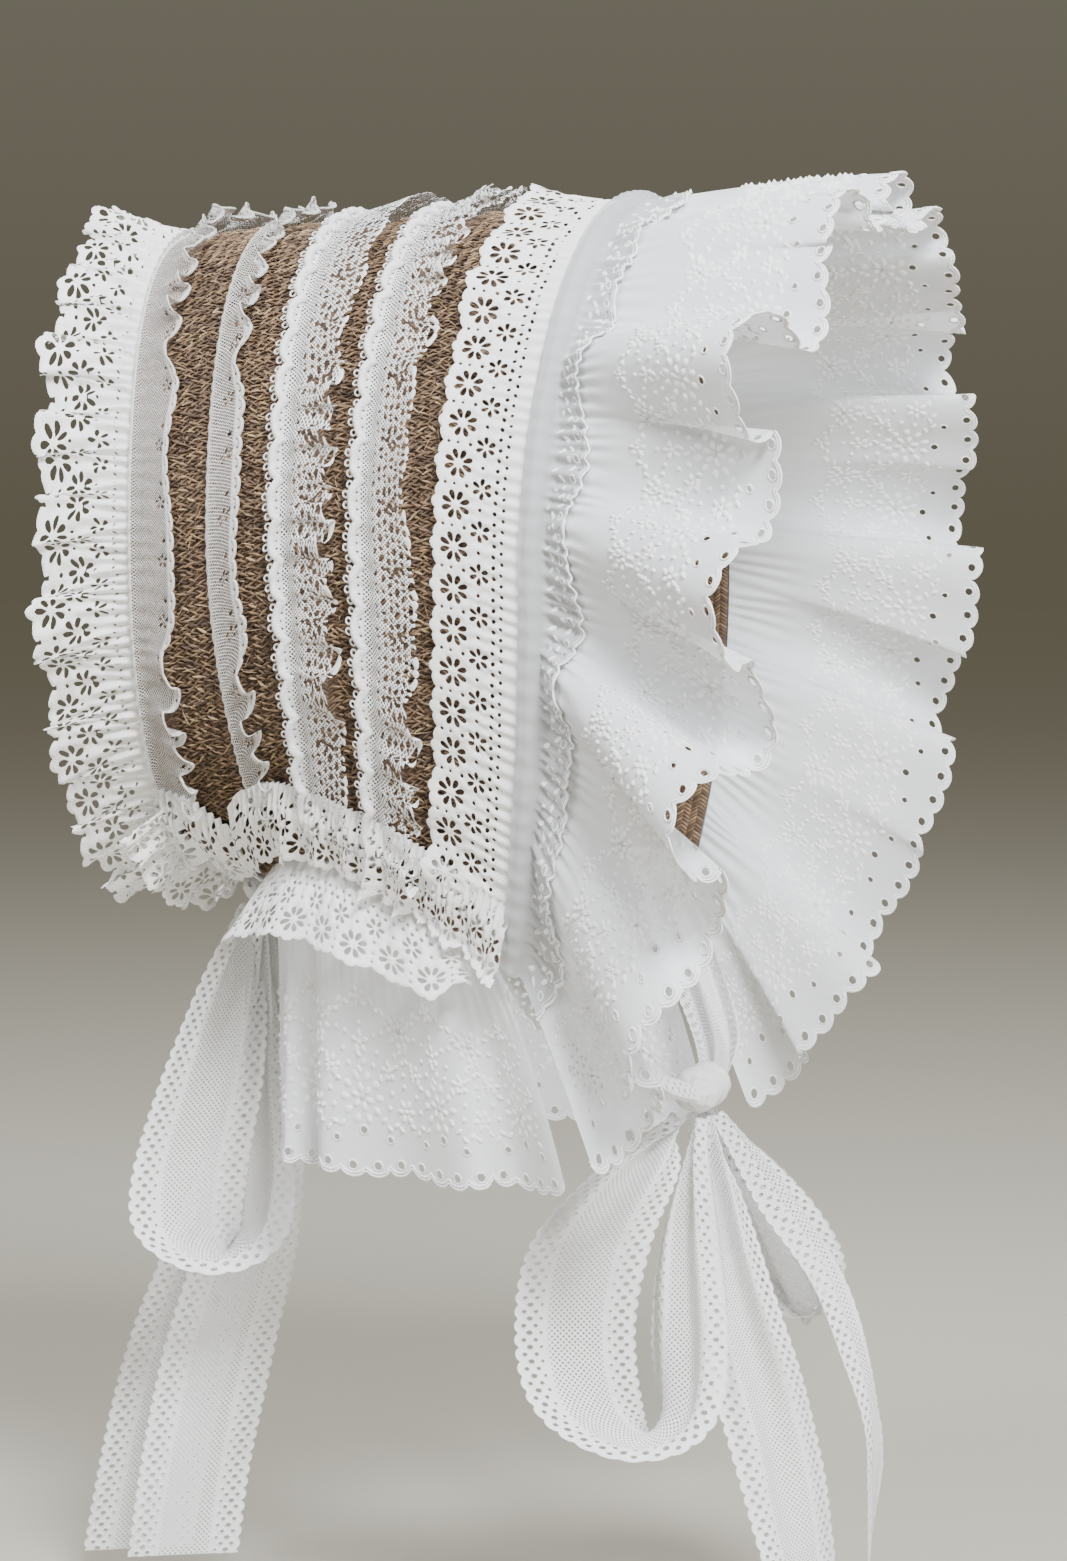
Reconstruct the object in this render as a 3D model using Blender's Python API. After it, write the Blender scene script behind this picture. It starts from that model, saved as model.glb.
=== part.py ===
"""A lace and straw bonnet, modelled worn: straw crown, lace trims, eyelet face ruffle and ties.

The face looks along -Y, +Z is up and the wearer's right is -X. The origin is where the top of
the head meets the inside of the crown. Sizes are in metres and angles in degrees.
"""

import math

import bmesh
import bpy
from mathutils import Vector

# The straw crown
CROWN_LENGTH = 0.161
CROWN_BACK_Y = 0.079
STRAW_THICKNESS = 0.0020
CROWN_TOP_LIFT = 0.0110
TURN_STEPS = 32
CROWN_STATIONS = (0.0, 0.10, 0.20, 0.22, 0.25, 0.31, 0.40, 0.55, 0.70, 0.85, 1.0)
REACH_CLOSED = 87.0
REACH_RIM = 36.0
ANGLE_STEPS = 60
END_MARGIN = 0.005

# The oval end inside the shell
TIP_STATION = 0.030
TIP_GAP = 0.0006
TIP_DOME = 0.0060
TIP_STEPS = 40
TIP_RINGS = (1.0, 0.72, 0.42, 0.16)

# Rows run from the back edge to the front rim at even steps. half_width, upper and lower shape
# the section, drop lowers its top, side and end move its sides and lower ends along Y.
CROWN_SECTIONS = (
    {"half_width": 0.0740, "upper": 0.099, "lower": 0.100, "drop": 0.0150, "side": -0.012, "end": -0.009},
    {"half_width": 0.0780, "upper": 0.101, "lower": 0.108, "drop": 0.0120, "side": -0.009, "end": -0.006},
    {"half_width": 0.0820, "upper": 0.104, "lower": 0.124, "drop": 0.0110, "side": -0.006, "end": 0.000},
    {"half_width": 0.0860, "upper": 0.108, "lower": 0.150, "drop": 0.0100, "side": -0.003, "end": 0.006},
    {"half_width": 0.0890, "upper": 0.112, "lower": 0.176, "drop": 0.0090, "side": 0.001, "end": 0.010},
    {"half_width": 0.0920, "upper": 0.115, "lower": 0.200, "drop": 0.0080, "side": 0.004, "end": 0.014},
)

# Cloth and the gaps between pieces
CLOTH_THICKNESS = 0.0010
SEAT_GAP = 0.0004
WAVE_STEPS = 4

# Lace on the crown: start and stop stations, the number of waves and their depth at the free
# edge, how far round the section it goes, and its cells from root to edge.
CROWN_BANDS = {
    "rear_frill": {"start": 0.036, "stop": 0.160, "waves": 16, "depth": 0.0048, "turn": 0.80, "cells": 2},
    "narrow_frill": {"start": 0.228, "stop": 0.300, "waves": 15, "depth": 0.005, "turn": 0.90, "cells": 1},
    "picot_lace_rear": {"start": 0.372, "stop": 0.53, "waves": 12, "depth": 0.003, "turn": 0.97, "cells": 2},
    "picot_lace_front": {"start": 0.562, "stop": 0.718, "waves": 12, "depth": 0.003, "turn": 0.97, "cells": 2},
    "cluny_lace_band": {"start": 0.932, "stop": 0.76, "waves": 12, "depth": 0.003, "turn": 0.97, "cells": 2},
}

# Frills that leave the crown: width of the lace, outward tilt, waves and their depth
BACK_FRILL = {"station": 0.028, "width": 0.029, "tilt": 16.0, "waves": 18, "depth": 0.006, "turn": 0.985}
NAPE_RUFFLE = {"station": 0.05, "width": 0.02, "tilt": 58.0, "waves": 8, "depth": 0.006, "from_turn": 0.82}
FRILL_CELLS = 2

# The rim
ROLL_RADIUS = 0.0034
ROLL_STATION = 0.974
ROLL_SIDES = 6
ROLL_STEPS = 40
RIM_LACE_SHARES = (0.008, 0.15)
RIM_LACE_LIFT = 0.0025

# The face ruffle, with its rows of cells from the rim to the scalloped edge
RUFFLE_FOLDS = 18
RUFFLE_FOLD_STEPS = 6
RUFFLE_SHARES = (0.0, 0.15, 0.40, 0.68, 0.88, 1.0)
RUFFLE_DEPTH = 0.0115
RUFFLE_EVEN = 0.85
RUFFLE_UNEVEN = 0.25
RUFFLE_DROOP = 0.0050
RUFFLE_SCALLOP = 0.0030
RUFFLE_ROOT_GAP = 0.0007
EYELET_SHARE = 0.30

# How the ruffle leaves the rim, from the wearer's right end over the top to the left end: flare
# is its outward tilt, fall its turn towards the floor, and width its length from the rim.
RUFFLE_SPREAD = (
    {"flare": 18.0, "fall": 58.0, "width": 0.070},
    {"flare": 26.0, "fall": 28.0, "width": 0.080},
    {"flare": 29.0, "fall": 9.0, "width": 0.086},
    {"flare": 24.0, "fall": 8.0, "width": 0.086},
    {"flare": 1.0, "fall": 0.0, "width": 0.081},
    {"flare": 24.0, "fall": 6.0, "width": 0.086},
    {"flare": 29.0, "fall": 4.0, "width": 0.086},
    {"flare": 26.0, "fall": 22.0, "width": 0.082},
    {"flare": 18.0, "fall": 56.0, "width": 0.072},
)

# The curtain over the neck
CURTAIN_TOP_GAP = 0.0006
CURTAIN_HEM_Z = -0.2980
CURTAIN_FOLDS = 9
CURTAIN_DEPTH = 0.0045
CURTAIN_STEPS = 45
CURTAIN_ROWS = 4
CURTAIN_SCALLOP = 0.0040
CURTAIN_DRAW_IN = 0.0040
CURTAIN_OVAL = 0.9
NAPE_STATION = 0.20
CURTAIN_FRONT_STATION = 0.86

# The flower lace along each side of the lower edge; places run from 0 at the right front end
LOWER_LACE = {"right": (0.0, 0.44), "left": (0.56, 1.0)}
LOWER_LACE_WIDTH = 0.028
LOWER_LACE_WAVES = 4
LOWER_LACE_DEPTH = 0.0035
LOWER_LACE_OUT = 0.0018
LOWER_LACE_DROP = 0.0018
LOWER_LACE_FALL = 0.85
LOWER_LACE_LEAN_FRONT = 0.30
LOWER_LACE_LEAN_NAPE = 0.55

# Lace ribbons: rows along the middle of each, in millimetres, with the ribbon's width there and
# facing, the angle of its width round Z from +X in degrees.
RIBBON_THICKNESS = 0.0010
RIBBON_STEPS = 16
KNOT_BEVEL = 0.0035
CHIN_KNOT = {"x": 0.0, "y": -98.0, "z": -273.0, "size_x": 26.0, "size_y": 17.0, "size_z": 16.0}
NAPE_KNOT = {"x": 0.0, "y": 54.0, "z": -213.2, "size_x": 20.0, "size_y": 9.0, "size_z": 12.0}
RIBBONS = {
    "chin_tie_right": (
        {"x": -76.3, "y": -56.1, "z": -204.3, "width": 18.0, "facing": 76.0},
        {"x": -73.6, "y": -60.8, "z": -218.6, "width": 18.0, "facing": 78.0},
        {"x": -64.0, "y": -75.0, "z": -243.0, "width": 20.0, "facing": 88.0},
        {"x": -42.0, "y": -90.0, "z": -263.0, "width": 17.0, "facing": 90.0},
        {"x": -13.6, "y": -98.0, "z": -273.0, "width": 9.0, "facing": 90.0},
    ),
    "chin_tie_left": (
        {"x": 76.3, "y": -56.1, "z": -204.3, "width": 18.0, "facing": 104.0},
        {"x": 73.6, "y": -60.8, "z": -218.6, "width": 18.0, "facing": 102.0},
        {"x": 64.0, "y": -75.0, "z": -243.0, "width": 20.0, "facing": 92.0},
        {"x": 42.0, "y": -90.0, "z": -263.0, "width": 17.0, "facing": 90.0},
        {"x": 13.6, "y": -98.0, "z": -273.0, "width": 9.0, "facing": 90.0},
    ),
    "chin_loop_right": (
        {"x": -10.0, "y": -93.0, "z": -281.6, "width": 5.0, "facing": 0.0},
        {"x": -24.0, "y": -86.0, "z": -295.0, "width": 26.0, "facing": -60.0},
        {"x": -34.0, "y": -73.0, "z": -318.0, "width": 38.0, "facing": -70.0},
        {"x": -38.0, "y": -69.0, "z": -345.0, "width": 38.0, "facing": -66.0},
        {"x": -38.0, "y": -74.0, "z": -369.0, "width": 38.0, "facing": -42.0},
        {"x": -31.0, "y": -87.0, "z": -381.0, "width": 36.0, "facing": 5.0},
        {"x": -23.0, "y": -98.0, "z": -374.0, "width": 34.0, "facing": 45.0},
        {"x": -18.0, "y": -99.0, "z": -348.0, "width": 28.0, "facing": 80.0},
        {"x": -14.0, "y": -98.0, "z": -313.0, "width": 18.0, "facing": 80.0},
        {"x": -9.5, "y": -101.0, "z": -281.6, "width": 5.0, "facing": 20.0},
    ),
    "chin_loop_left": (
        {"x": 4.0, "y": -94.0, "z": -281.6, "width": 5.0, "facing": 0.0},
        {"x": 22.0, "y": -100.0, "z": -298.0, "width": 24.0, "facing": -60.0},
        {"x": 35.0, "y": -111.0, "z": -320.0, "width": 34.0, "facing": -72.0},
        {"x": 41.0, "y": -118.0, "z": -338.0, "width": 36.0, "facing": -50.0},
        {"x": 41.0, "y": -122.0, "z": -350.0, "width": 34.0, "facing": 0.0},
        {"x": 35.0, "y": -119.0, "z": -350.0, "width": 30.0, "facing": 45.0},
        {"x": 28.0, "y": -109.0, "z": -334.0, "width": 26.0, "facing": 85.0},
        {"x": 18.0, "y": -102.0, "z": -308.0, "width": 16.0, "facing": 90.0},
        {"x": 10.5, "y": -97.0, "z": -281.6, "width": 4.0, "facing": 45.0},
    ),
    "chin_tail_wide": (
        {"x": -2.5, "y": -100.0, "z": -281.6, "width": 6.0, "facing": 0.0},
        {"x": 2.0, "y": -104.0, "z": -309.0, "width": 16.0, "facing": -60.0},
        {"x": 1.0, "y": -112.0, "z": -347.0, "width": 26.0, "facing": -68.0},
        {"x": 0.0, "y": -123.0, "z": -384.0, "width": 34.0, "facing": -40.0},
        {"x": 0.0, "y": -131.0, "z": -419.0, "width": 38.0, "facing": -20.0},
        {"x": 0.0, "y": -136.0, "z": -446.0, "width": 38.0, "facing": -15.0},
    ),
    "chin_tail_narrow": (
        {"x": 4.0, "y": -102.0, "z": -281.6, "width": 5.0, "facing": 0.0},
        {"x": 17.0, "y": -117.0, "z": -308.0, "width": 20.0, "facing": -5.0},
        {"x": 24.0, "y": -134.0, "z": -337.0, "width": 30.0, "facing": 5.0},
        {"x": 26.0, "y": -146.0, "z": -372.0, "width": 36.0, "facing": 8.0},
        {"x": 26.0, "y": -149.0, "z": -400.0, "width": 38.0, "facing": 8.0},
        {"x": 25.0, "y": -147.0, "z": -427.0, "width": 38.0, "facing": 12.0},
        {"x": 24.0, "y": -145.0, "z": -446.0, "width": 38.0, "facing": 12.0},
    ),
    "nape_loop": (
        {"x": -6.0, "y": 56.5, "z": -219.7, "width": 5.0, "facing": 0.0},
        {"x": -9.0, "y": 60.0, "z": -245.0, "width": 22.0, "facing": -55.0},
        {"x": -14.0, "y": 66.0, "z": -277.0, "width": 34.0, "facing": -70.0},
        {"x": -16.0, "y": 73.0, "z": -307.0, "width": 38.0, "facing": -66.0},
        {"x": -15.0, "y": 74.0, "z": -328.0, "width": 38.0, "facing": -40.0},
        {"x": -8.0, "y": 66.0, "z": -338.0, "width": 34.0, "facing": 10.0},
        {"x": 0.0, "y": 57.0, "z": -330.0, "width": 28.0, "facing": 55.0},
        {"x": 3.0, "y": 55.0, "z": -306.0, "width": 20.0, "facing": 90.0},
        {"x": 1.0, "y": 54.5, "z": -270.0, "width": 14.0, "facing": 100.0},
        {"x": -6.0, "y": 52.0, "z": -219.7, "width": 4.0, "facing": 180.0},
    ),
    "nape_tail_right": (
        {"x": 1.0, "y": 54.0, "z": -219.7, "width": 4.0, "facing": 0.0},
        {"x": 10.0, "y": 56.0, "z": -254.0, "width": 18.0, "facing": -65.0},
        {"x": 15.0, "y": 60.5, "z": -291.0, "width": 28.0, "facing": -70.0},
        {"x": 16.0, "y": 66.0, "z": -332.0, "width": 34.0, "facing": -70.0},
        {"x": 15.0, "y": 77.5, "z": -374.0, "width": 38.0, "facing": -66.0},
        {"x": 14.0, "y": 86.0, "z": -414.0, "width": 38.0, "facing": -60.0},
        {"x": 14.0, "y": 91.0, "z": -446.0, "width": 38.0, "facing": -60.0},
    ),
    "nape_tail_left": (
        {"x": 8.0, "y": 54.0, "z": -219.7, "width": 4.0, "facing": 0.0},
        {"x": 20.0, "y": 58.0, "z": -257.0, "width": 18.0, "facing": -65.0},
        {"x": 27.0, "y": 67.5, "z": -295.0, "width": 28.0, "facing": -70.0},
        {"x": 28.0, "y": 81.0, "z": -333.0, "width": 34.0, "facing": -70.0},
        {"x": 28.0, "y": 96.0, "z": -372.0, "width": 38.0, "facing": -64.0},
        {"x": 28.0, "y": 107.0, "z": -411.0, "width": 38.0, "facing": -60.0},
        {"x": 28.0, "y": 115.0, "z": -450.0, "width": 38.0, "facing": -60.0},
    ),
}

WHITE = (0.86, 0.86, 0.85, 1.0)
SHADE = (0.80, 0.80, 0.79, 1.0)
STRAW = (0.33, 0.22, 0.12, 1.0)


def clear_scene():
    """Remove the objects of the open scene."""
    for item in list(bpy.data.objects):
        bpy.data.objects.remove(item, do_unlink=True)


def make_material(name, colour, roughness):
    """A plain surface of one colour."""
    material = bpy.data.materials.new(name)
    material.use_nodes = True
    shader = material.node_tree.nodes["Principled BSDF"]
    shader.inputs["Base Color"].default_value = colour
    shader.inputs["Roughness"].default_value = roughness
    shader.inputs["Metallic"].default_value = 0.0
    return material


def read_rows(rows, place, column):
    """The value of a column at a place from 0 to 1, on a smooth curve through the rows."""
    steps = len(rows) - 1
    at = min(max(place, 0.0), 1.0) * steps
    index = min(int(at), steps - 1)
    f = at - index
    a, b, c, d = (rows[min(max(index + k, 0), steps)][column] for k in (-1, 0, 1, 2))
    square = 2 * a - 5 * b + 4 * c - d
    cube = 3 * b - a - 3 * c + d
    return 0.5 * (2 * b + (c - a) * f + square * f ** 2 + cube * f ** 3)


def section_at(station):
    """The crown's section sizes at a station, and how far round it goes below its widest level."""
    section = {column: read_rows(CROWN_SECTIONS, station, column) for column in CROWN_SECTIONS[0]}
    opened = max(0.0, (station - NAPE_STATION) / (1 - NAPE_STATION))
    section["reach"] = REACH_RIM + (REACH_CLOSED - REACH_RIM) * (1 - math.sqrt(opened)) ** 2
    return section


def section_xz(section, angle):
    """Half width and height of the section at an angle in radians from its top."""
    if angle <= math.pi / 2:
        across = section["half_width"] * math.sin(angle)
        return across, -section["drop"] - section["upper"] * (1 - math.cos(angle))
    below = angle - math.pi / 2
    across = section["half_width"] * math.cos(below)
    return across, -section["drop"] - section["upper"] - section["lower"] * math.sin(below)


SECTION_CACHE = {}


def section_angle(station, share):
    """The angle that lies at a share of the way round one half of the section."""
    key = round(station, 5)
    if key not in SECTION_CACHE:
        section = section_at(station)
        total = math.pi / 2 + math.radians(section["reach"])
        angles = [total * i / ANGLE_STEPS for i in range(ANGLE_STEPS + 1)]
        points = [section_xz(section, angle) for angle in angles]
        lengths = [0.0]
        for first, second in zip(points, points[1:]):
            lengths.append(lengths[-1] + math.dist(first, second))
        SECTION_CACHE[key] = (section, angles, lengths)
    section, angles, lengths = SECTION_CACHE[key]
    wanted = share * lengths[-1]
    for index in range(ANGLE_STEPS):
        if lengths[index + 1] >= wanted or index == ANGLE_STEPS - 1:
            part = (wanted - lengths[index]) / (lengths[index + 1] - lengths[index])
            return section, angles[index] + (angles[index + 1] - angles[index]) * part
    return section, angles[-1]


def crown_base(station, turn):
    """A point of the crown's middle surface. turn is -1 at the right lower end, +1 at the left."""
    held = min(max(station, 0.0), 1.0)
    section, angle = section_angle(held, min(abs(turn), 1.0))
    across, height = section_xz(section, angle)
    sideness = (across / section["half_width"]) ** 2
    low = max(0.0, angle - math.pi / 2) / math.radians(section["reach"])
    y = CROWN_BACK_Y - CROWN_LENGTH * station + section["side"] * sideness + section["end"] * low ** 2
    return Vector((math.copysign(across, turn), y, height + CROWN_TOP_LIFT))


def crown_point(station, turn, lift=0.0):
    """A point on or above the crown, and the outward direction there."""
    step = 0.004
    low, high = max(turn - step, -1.0), min(turn + step, 1.0)
    held = min(max(station, step), 1.0 - step)
    along = crown_base(held + step, turn) - crown_base(held - step, turn)
    around = crown_base(station, high) - crown_base(station, low)
    outward = around.cross(along).normalized()
    if outward.dot(Vector((math.copysign(1.0, turn) * abs(turn), 0.0, 0.55 - abs(turn)))) < 0:
        outward.negate()
    return crown_base(station, turn) + outward * lift, outward


def wave(phase):
    """A fold's height from 0 to 1 for a phase counted in folds."""
    return 0.5 - 0.5 * math.cos(2 * math.pi * phase)


def grid_normals(grid):
    """The direction across a sheet at each of its points."""
    rows, columns = len(grid), len(grid[0])
    normals = []
    for i in range(rows):
        line = []
        for j in range(columns):
            across = grid[min(i + 1, rows - 1)][j] - grid[max(i - 1, 0)][j]
            along = grid[i][min(j + 1, columns - 1)] - grid[i][max(j - 1, 0)]
            line.append(along.cross(across).normalized())
        normals.append(line)
    return normals


def pierced_face(bm, top, bottom, share):
    """One cell of a sheet with a square hole through its middle."""
    middle_top = sum((v.co for v in top), Vector()) / 4
    middle_bottom = sum((v.co for v in bottom), Vector()) / 4
    hole_top = [bm.verts.new(middle_top.lerp(v.co, share)) for v in top]
    hole_bottom = [bm.verts.new(middle_bottom.lerp(v.co, share)) for v in bottom]
    for k in range(4):
        n = (k + 1) % 4
        bm.faces.new((top[k], top[n], hole_top[n], hole_top[k]))
        bm.faces.new((bottom[n], bottom[k], hole_bottom[k], hole_bottom[n]))
        bm.faces.new((hole_top[k], hole_top[n], hole_bottom[n], hole_bottom[k]))


def solid_face(bm, top, bottom):
    """One whole cell of a sheet, split along the same diagonal on both sides to keep the wall even."""
    straight = (top[0].co - top[2].co).length <= (top[1].co - top[3].co).length
    halves = ((0, 1, 2), (0, 2, 3)) if straight else ((1, 2, 3), (1, 3, 0))
    for a, b, c in halves:
        bm.faces.new((top[a], top[b], top[c]))
        bm.faces.new((bottom[c], bottom[b], bottom[a]))


def make_sheet(name, grid, thickness, material, pierced=()):
    """A closed wall of even thickness about a grid of points, with holes in the pierced cells."""
    normals = grid_normals(grid)
    rows, columns = len(grid), len(grid[0])
    bm = bmesh.new()
    half = thickness / 2
    top = []
    bottom = []
    for line, across in zip(grid, normals):
        top.append([bm.verts.new(point + way * half) for point, way in zip(line, across)])
        bottom.append([bm.verts.new(point - way * half) for point, way in zip(line, across)])
    for i in range(rows - 1):
        for j in range(columns - 1):
            cell = ((i, j), (i, j + 1), (i + 1, j + 1), (i + 1, j))
            upper = [top[a][b] for a, b in cell]
            lower = [bottom[a][b] for a, b in cell]
            if (i, j) in pierced:
                pierced_face(bm, upper, lower, EYELET_SHARE)
            else:
                solid_face(bm, upper, lower)
    for j in range(columns - 1):
        bm.faces.new((top[0][j + 1], top[0][j], bottom[0][j], bottom[0][j + 1]))
        bm.faces.new((top[-1][j], top[-1][j + 1], bottom[-1][j + 1], bottom[-1][j]))
    for i in range(rows - 1):
        bm.faces.new((top[i][0], top[i + 1][0], bottom[i + 1][0], bottom[i][0]))
        bm.faces.new((top[i + 1][-1], top[i][-1], bottom[i][-1], bottom[i + 1][-1]))
    return finish_mesh(name, bm, material)


def finish_mesh(name, bm, material):
    """Turn a closed mesh outwards and put it in the scene."""
    bmesh.ops.recalc_face_normals(bm, faces=bm.faces)
    if bm.calc_volume(signed=True) < 0:
        bmesh.ops.reverse_faces(bm, faces=bm.faces)
    mesh = bpy.data.meshes.new(name)
    bm.to_mesh(mesh)
    bm.free()
    mesh.materials.append(material)
    mesh.shade_smooth()
    mesh.set_sharp_from_angle(angle=math.radians(50))
    item = bpy.data.objects.new(name, mesh)
    bpy.context.scene.collection.objects.link(item)
    return item


def straw_crown(material):
    """The straw shell."""
    grid = []
    for station in CROWN_STATIONS:
        grid.append([crown_point(station, -1 + 2 * j / TURN_STEPS)[0] for j in range(TURN_STEPS + 1)])
    return make_sheet("straw_crown", grid, STRAW_THICKNESS, material)


def crown_tip(material):
    """The oval end that closes the back of the crown, domed a little, inside the shell."""
    count = TIP_STEPS
    last_turn = 1 - 2 * END_MARGIN
    rim = []
    for j in range(count):
        turn = last_turn * (-1 + 2 * j / (count - 1))
        rim.append(crown_point(TIP_STATION, turn, -STRAW_THICKNESS / 2 - TIP_GAP)[0])
    middle = sum(rim, Vector()) / count
    bm = bmesh.new()
    layers = []
    for depth in (0.0, STRAW_THICKNESS):
        rings = []
        for share in TIP_RINGS:
            dome = Vector((0, TIP_DOME * (1 - share ** 2) - depth, 0))
            rings.append([bm.verts.new(middle.lerp(p, share) + dome) for p in rim])
        rings.append([bm.verts.new(middle + Vector((0, TIP_DOME - depth, 0)))])
        layers.append(rings)
    for rings in layers:
        for outer, inner in zip(rings, rings[1:]):
            for j in range(count):
                n = (j + 1) % count
                if len(inner) == 1:
                    bm.faces.new((outer[j], outer[n], inner[0]))
                else:
                    bm.faces.new((outer[j], outer[n], inner[n], inner[j]))
    for j in range(count):
        n = (j + 1) % count
        bm.faces.new((layers[0][0][j], layers[0][0][n], layers[1][0][n], layers[1][0][j]))
    return finish_mesh("crown_tip", bm, material)


def crown_band(name, band, material):
    """A lace strip on the crown, flat at its stitched row and waved at its free edge."""
    steps = band["waves"] * WAVE_STEPS
    base = STRAW_THICKNESS / 2 + CLOTH_THICKNESS / 2 + SEAT_GAP
    grid = []
    for i in range(band["cells"] + 1):
        share = i / band["cells"]
        station = band["start"] + (band["stop"] - band["start"]) * share
        line = []
        for j in range(steps + 1):
            turn = band["turn"] * (-1 + 2 * j / steps)
            height = band["depth"] * share ** 1.5 * wave(j / WAVE_STEPS)
            line.append(crown_point(station, turn, base + height)[0])
        grid.append(line)
    return make_sheet(name, grid, CLOTH_THICKNESS, material)


def back_edge_frill(material):
    """The dense lace that stands off the back edge."""
    steps = BACK_FRILL["waves"] * WAVE_STEPS
    base = STRAW_THICKNESS / 2 + CLOTH_THICKNESS / 2 + SEAT_GAP
    tilt = math.radians(BACK_FRILL["tilt"])
    grid = []
    for i in range(FRILL_CELLS + 1):
        share = i / FRILL_CELLS
        line = []
        for j in range(steps + 1):
            turn = BACK_FRILL["turn"] * (-1 + 2 * j / steps)
            root, outward = crown_point(BACK_FRILL["station"], turn, base)
            run = BACK_FRILL["width"] * share
            swing = BACK_FRILL["depth"] * share ** 1.3 * wave(j / WAVE_STEPS)
            backward = Vector((0, 1, 0)) * run * math.cos(tilt)
            line.append(root + backward + outward * (run * math.sin(tilt) + swing))
        grid.append(line)
    return make_sheet("back_edge_frill", grid, CLOTH_THICKNESS, material)


def nape_ruffle(material):
    """The lace ruffle under the back edge, from side to side round the nape."""
    steps = NAPE_RUFFLE["waves"] * WAVE_STEPS
    base = STRAW_THICKNESS / 2 + CLOTH_THICKNESS / 2 + SEAT_GAP
    tilt = math.radians(NAPE_RUFFLE["tilt"])
    first = NAPE_RUFFLE["from_turn"]
    grid = []
    for i in range(FRILL_CELLS + 1):
        share = i / FRILL_CELLS
        line = []
        for j in range(steps + 1):
            around = first + 2 * (1 - first) * j / steps
            turn = around - 2 if around >= 1 + END_MARGIN else min(around, 1 - END_MARGIN)
            root, outward = crown_point(NAPE_RUFFLE["station"], turn, base)
            run = NAPE_RUFFLE["width"] * share
            swing = NAPE_RUFFLE["depth"] * share * (wave(j / WAVE_STEPS) - 0.5)
            leave = Vector((0, 1, 0)) * math.cos(tilt) + outward * math.sin(tilt)
            across = Vector((0, 1, 0)) * math.sin(tilt) - outward * math.cos(tilt)
            line.append(root + leave * run + across * swing)
        grid.append(line)
    return make_sheet("nape_ruffle", grid, CLOTH_THICKNESS, material)


def ruffle_frame(turn):
    """Where the face ruffle leaves the rim, the way it runs, the way across it, and its width."""
    place = (turn + 1) / 2
    root, outward = crown_point(1.0, turn)
    root = root + Vector((0, -RUFFLE_ROOT_GAP, 0))
    flare = math.radians(read_rows(RUFFLE_SPREAD, place, "flare"))
    fall = math.radians(read_rows(RUFFLE_SPREAD, place, "fall"))
    outward = Vector((outward.x, 0, outward.z)).normalized()
    forward = Vector((0, -1, 0)) * math.cos(flare) + outward * math.sin(flare)
    run = forward * math.cos(fall) + Vector((0, 0, -1)) * math.sin(fall)
    along = Vector((outward.z, 0, -outward.x))
    along = (along - run * along.dot(run)).normalized()
    return root, run, run.cross(along).normalized(), read_rows(RUFFLE_SPREAD, place, "width")


def ruffle_point(turn, reach, phase, lift=0.0):
    """A point of the face ruffle at a distance from the rim, for a phase counted in folds."""
    root, run, across, width = ruffle_frame(turn)
    share = reach / width
    uneven = RUFFLE_EVEN + RUFFLE_UNEVEN * math.sin(1.7 * phase + 0.6)
    swing = RUFFLE_DEPTH * uneven * share ** 0.8 * math.cos(2 * math.pi * phase)
    droop = Vector((0, 0, -RUFFLE_DROOP)) * share ** 2
    return root + run * reach + across * (swing + lift) + droop


def face_ruffle(material):
    """The big ruffle round the face, with a scalloped edge and eyelets near it."""
    columns = RUFFLE_FOLDS * RUFFLE_FOLD_STEPS
    last = len(RUFFLE_SHARES) - 1
    grid = []
    for i, share in enumerate(RUFFLE_SHARES):
        line = []
        for j in range(columns + 1):
            turn = -1 + 2 * j / columns
            width = read_rows(RUFFLE_SPREAD, (turn + 1) / 2, "width")
            cut = RUFFLE_SCALLOP if i == last and j % 3 == 0 else 0.0
            line.append(ruffle_point(turn, width * share - cut, j / RUFFLE_FOLD_STEPS))
        grid.append(line)
    pierced = {(last - 1, j) for j in range(1, columns, 2)}
    return make_sheet("face_ruffle", grid, CLOTH_THICKNESS, material, pierced)


def rim_lace(material):
    """The narrow lace over the root of the face ruffle, on its outer side."""
    columns = RUFFLE_FOLDS * RUFFLE_FOLD_STEPS
    grid = []
    for share in RIM_LACE_SHARES:
        line = []
        for j in range(2, columns - 1):
            turn = -1 + 2 * j / columns
            reach = share * read_rows(RUFFLE_SPREAD, (turn + 1) / 2, "width")
            line.append(ruffle_point(turn, reach, j / RUFFLE_FOLD_STEPS, RIM_LACE_LIFT))
        grid.append(line)
    return make_sheet("rim_lace", grid, CLOTH_THICKNESS, material)


def rim_roll(material):
    """The covered cord along the rim."""
    count = ROLL_STEPS
    lift = STRAW_THICKNESS / 2 + ROLL_RADIUS + SEAT_GAP
    centres = []
    outwards = []
    for j in range(count + 1):
        centre, outward = crown_point(ROLL_STATION, -1 + 2 * j / count, lift)
        centres.append(centre)
        outwards.append(outward)
    bm = bmesh.new()
    rings = []
    for centre, outward in zip(centres, outwards):
        ring = []
        for k in range(ROLL_SIDES):
            angle = 2 * math.pi * k / ROLL_SIDES + math.pi / ROLL_SIDES
            forward = Vector((0, -1, 0)) * math.cos(angle)
            ring.append(bm.verts.new(centre + (forward + outward * math.sin(angle)) * ROLL_RADIUS))
        rings.append(ring)
    for first, second in zip(rings, rings[1:]):
        for k in range(ROLL_SIDES):
            n = (k + 1) % ROLL_SIDES
            bm.faces.new((first[k], first[n], second[n], second[k]))
    bm.faces.new(rings[0])
    bm.faces.new(rings[-1])
    return finish_mesh("rim_roll", bm, material)


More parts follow.
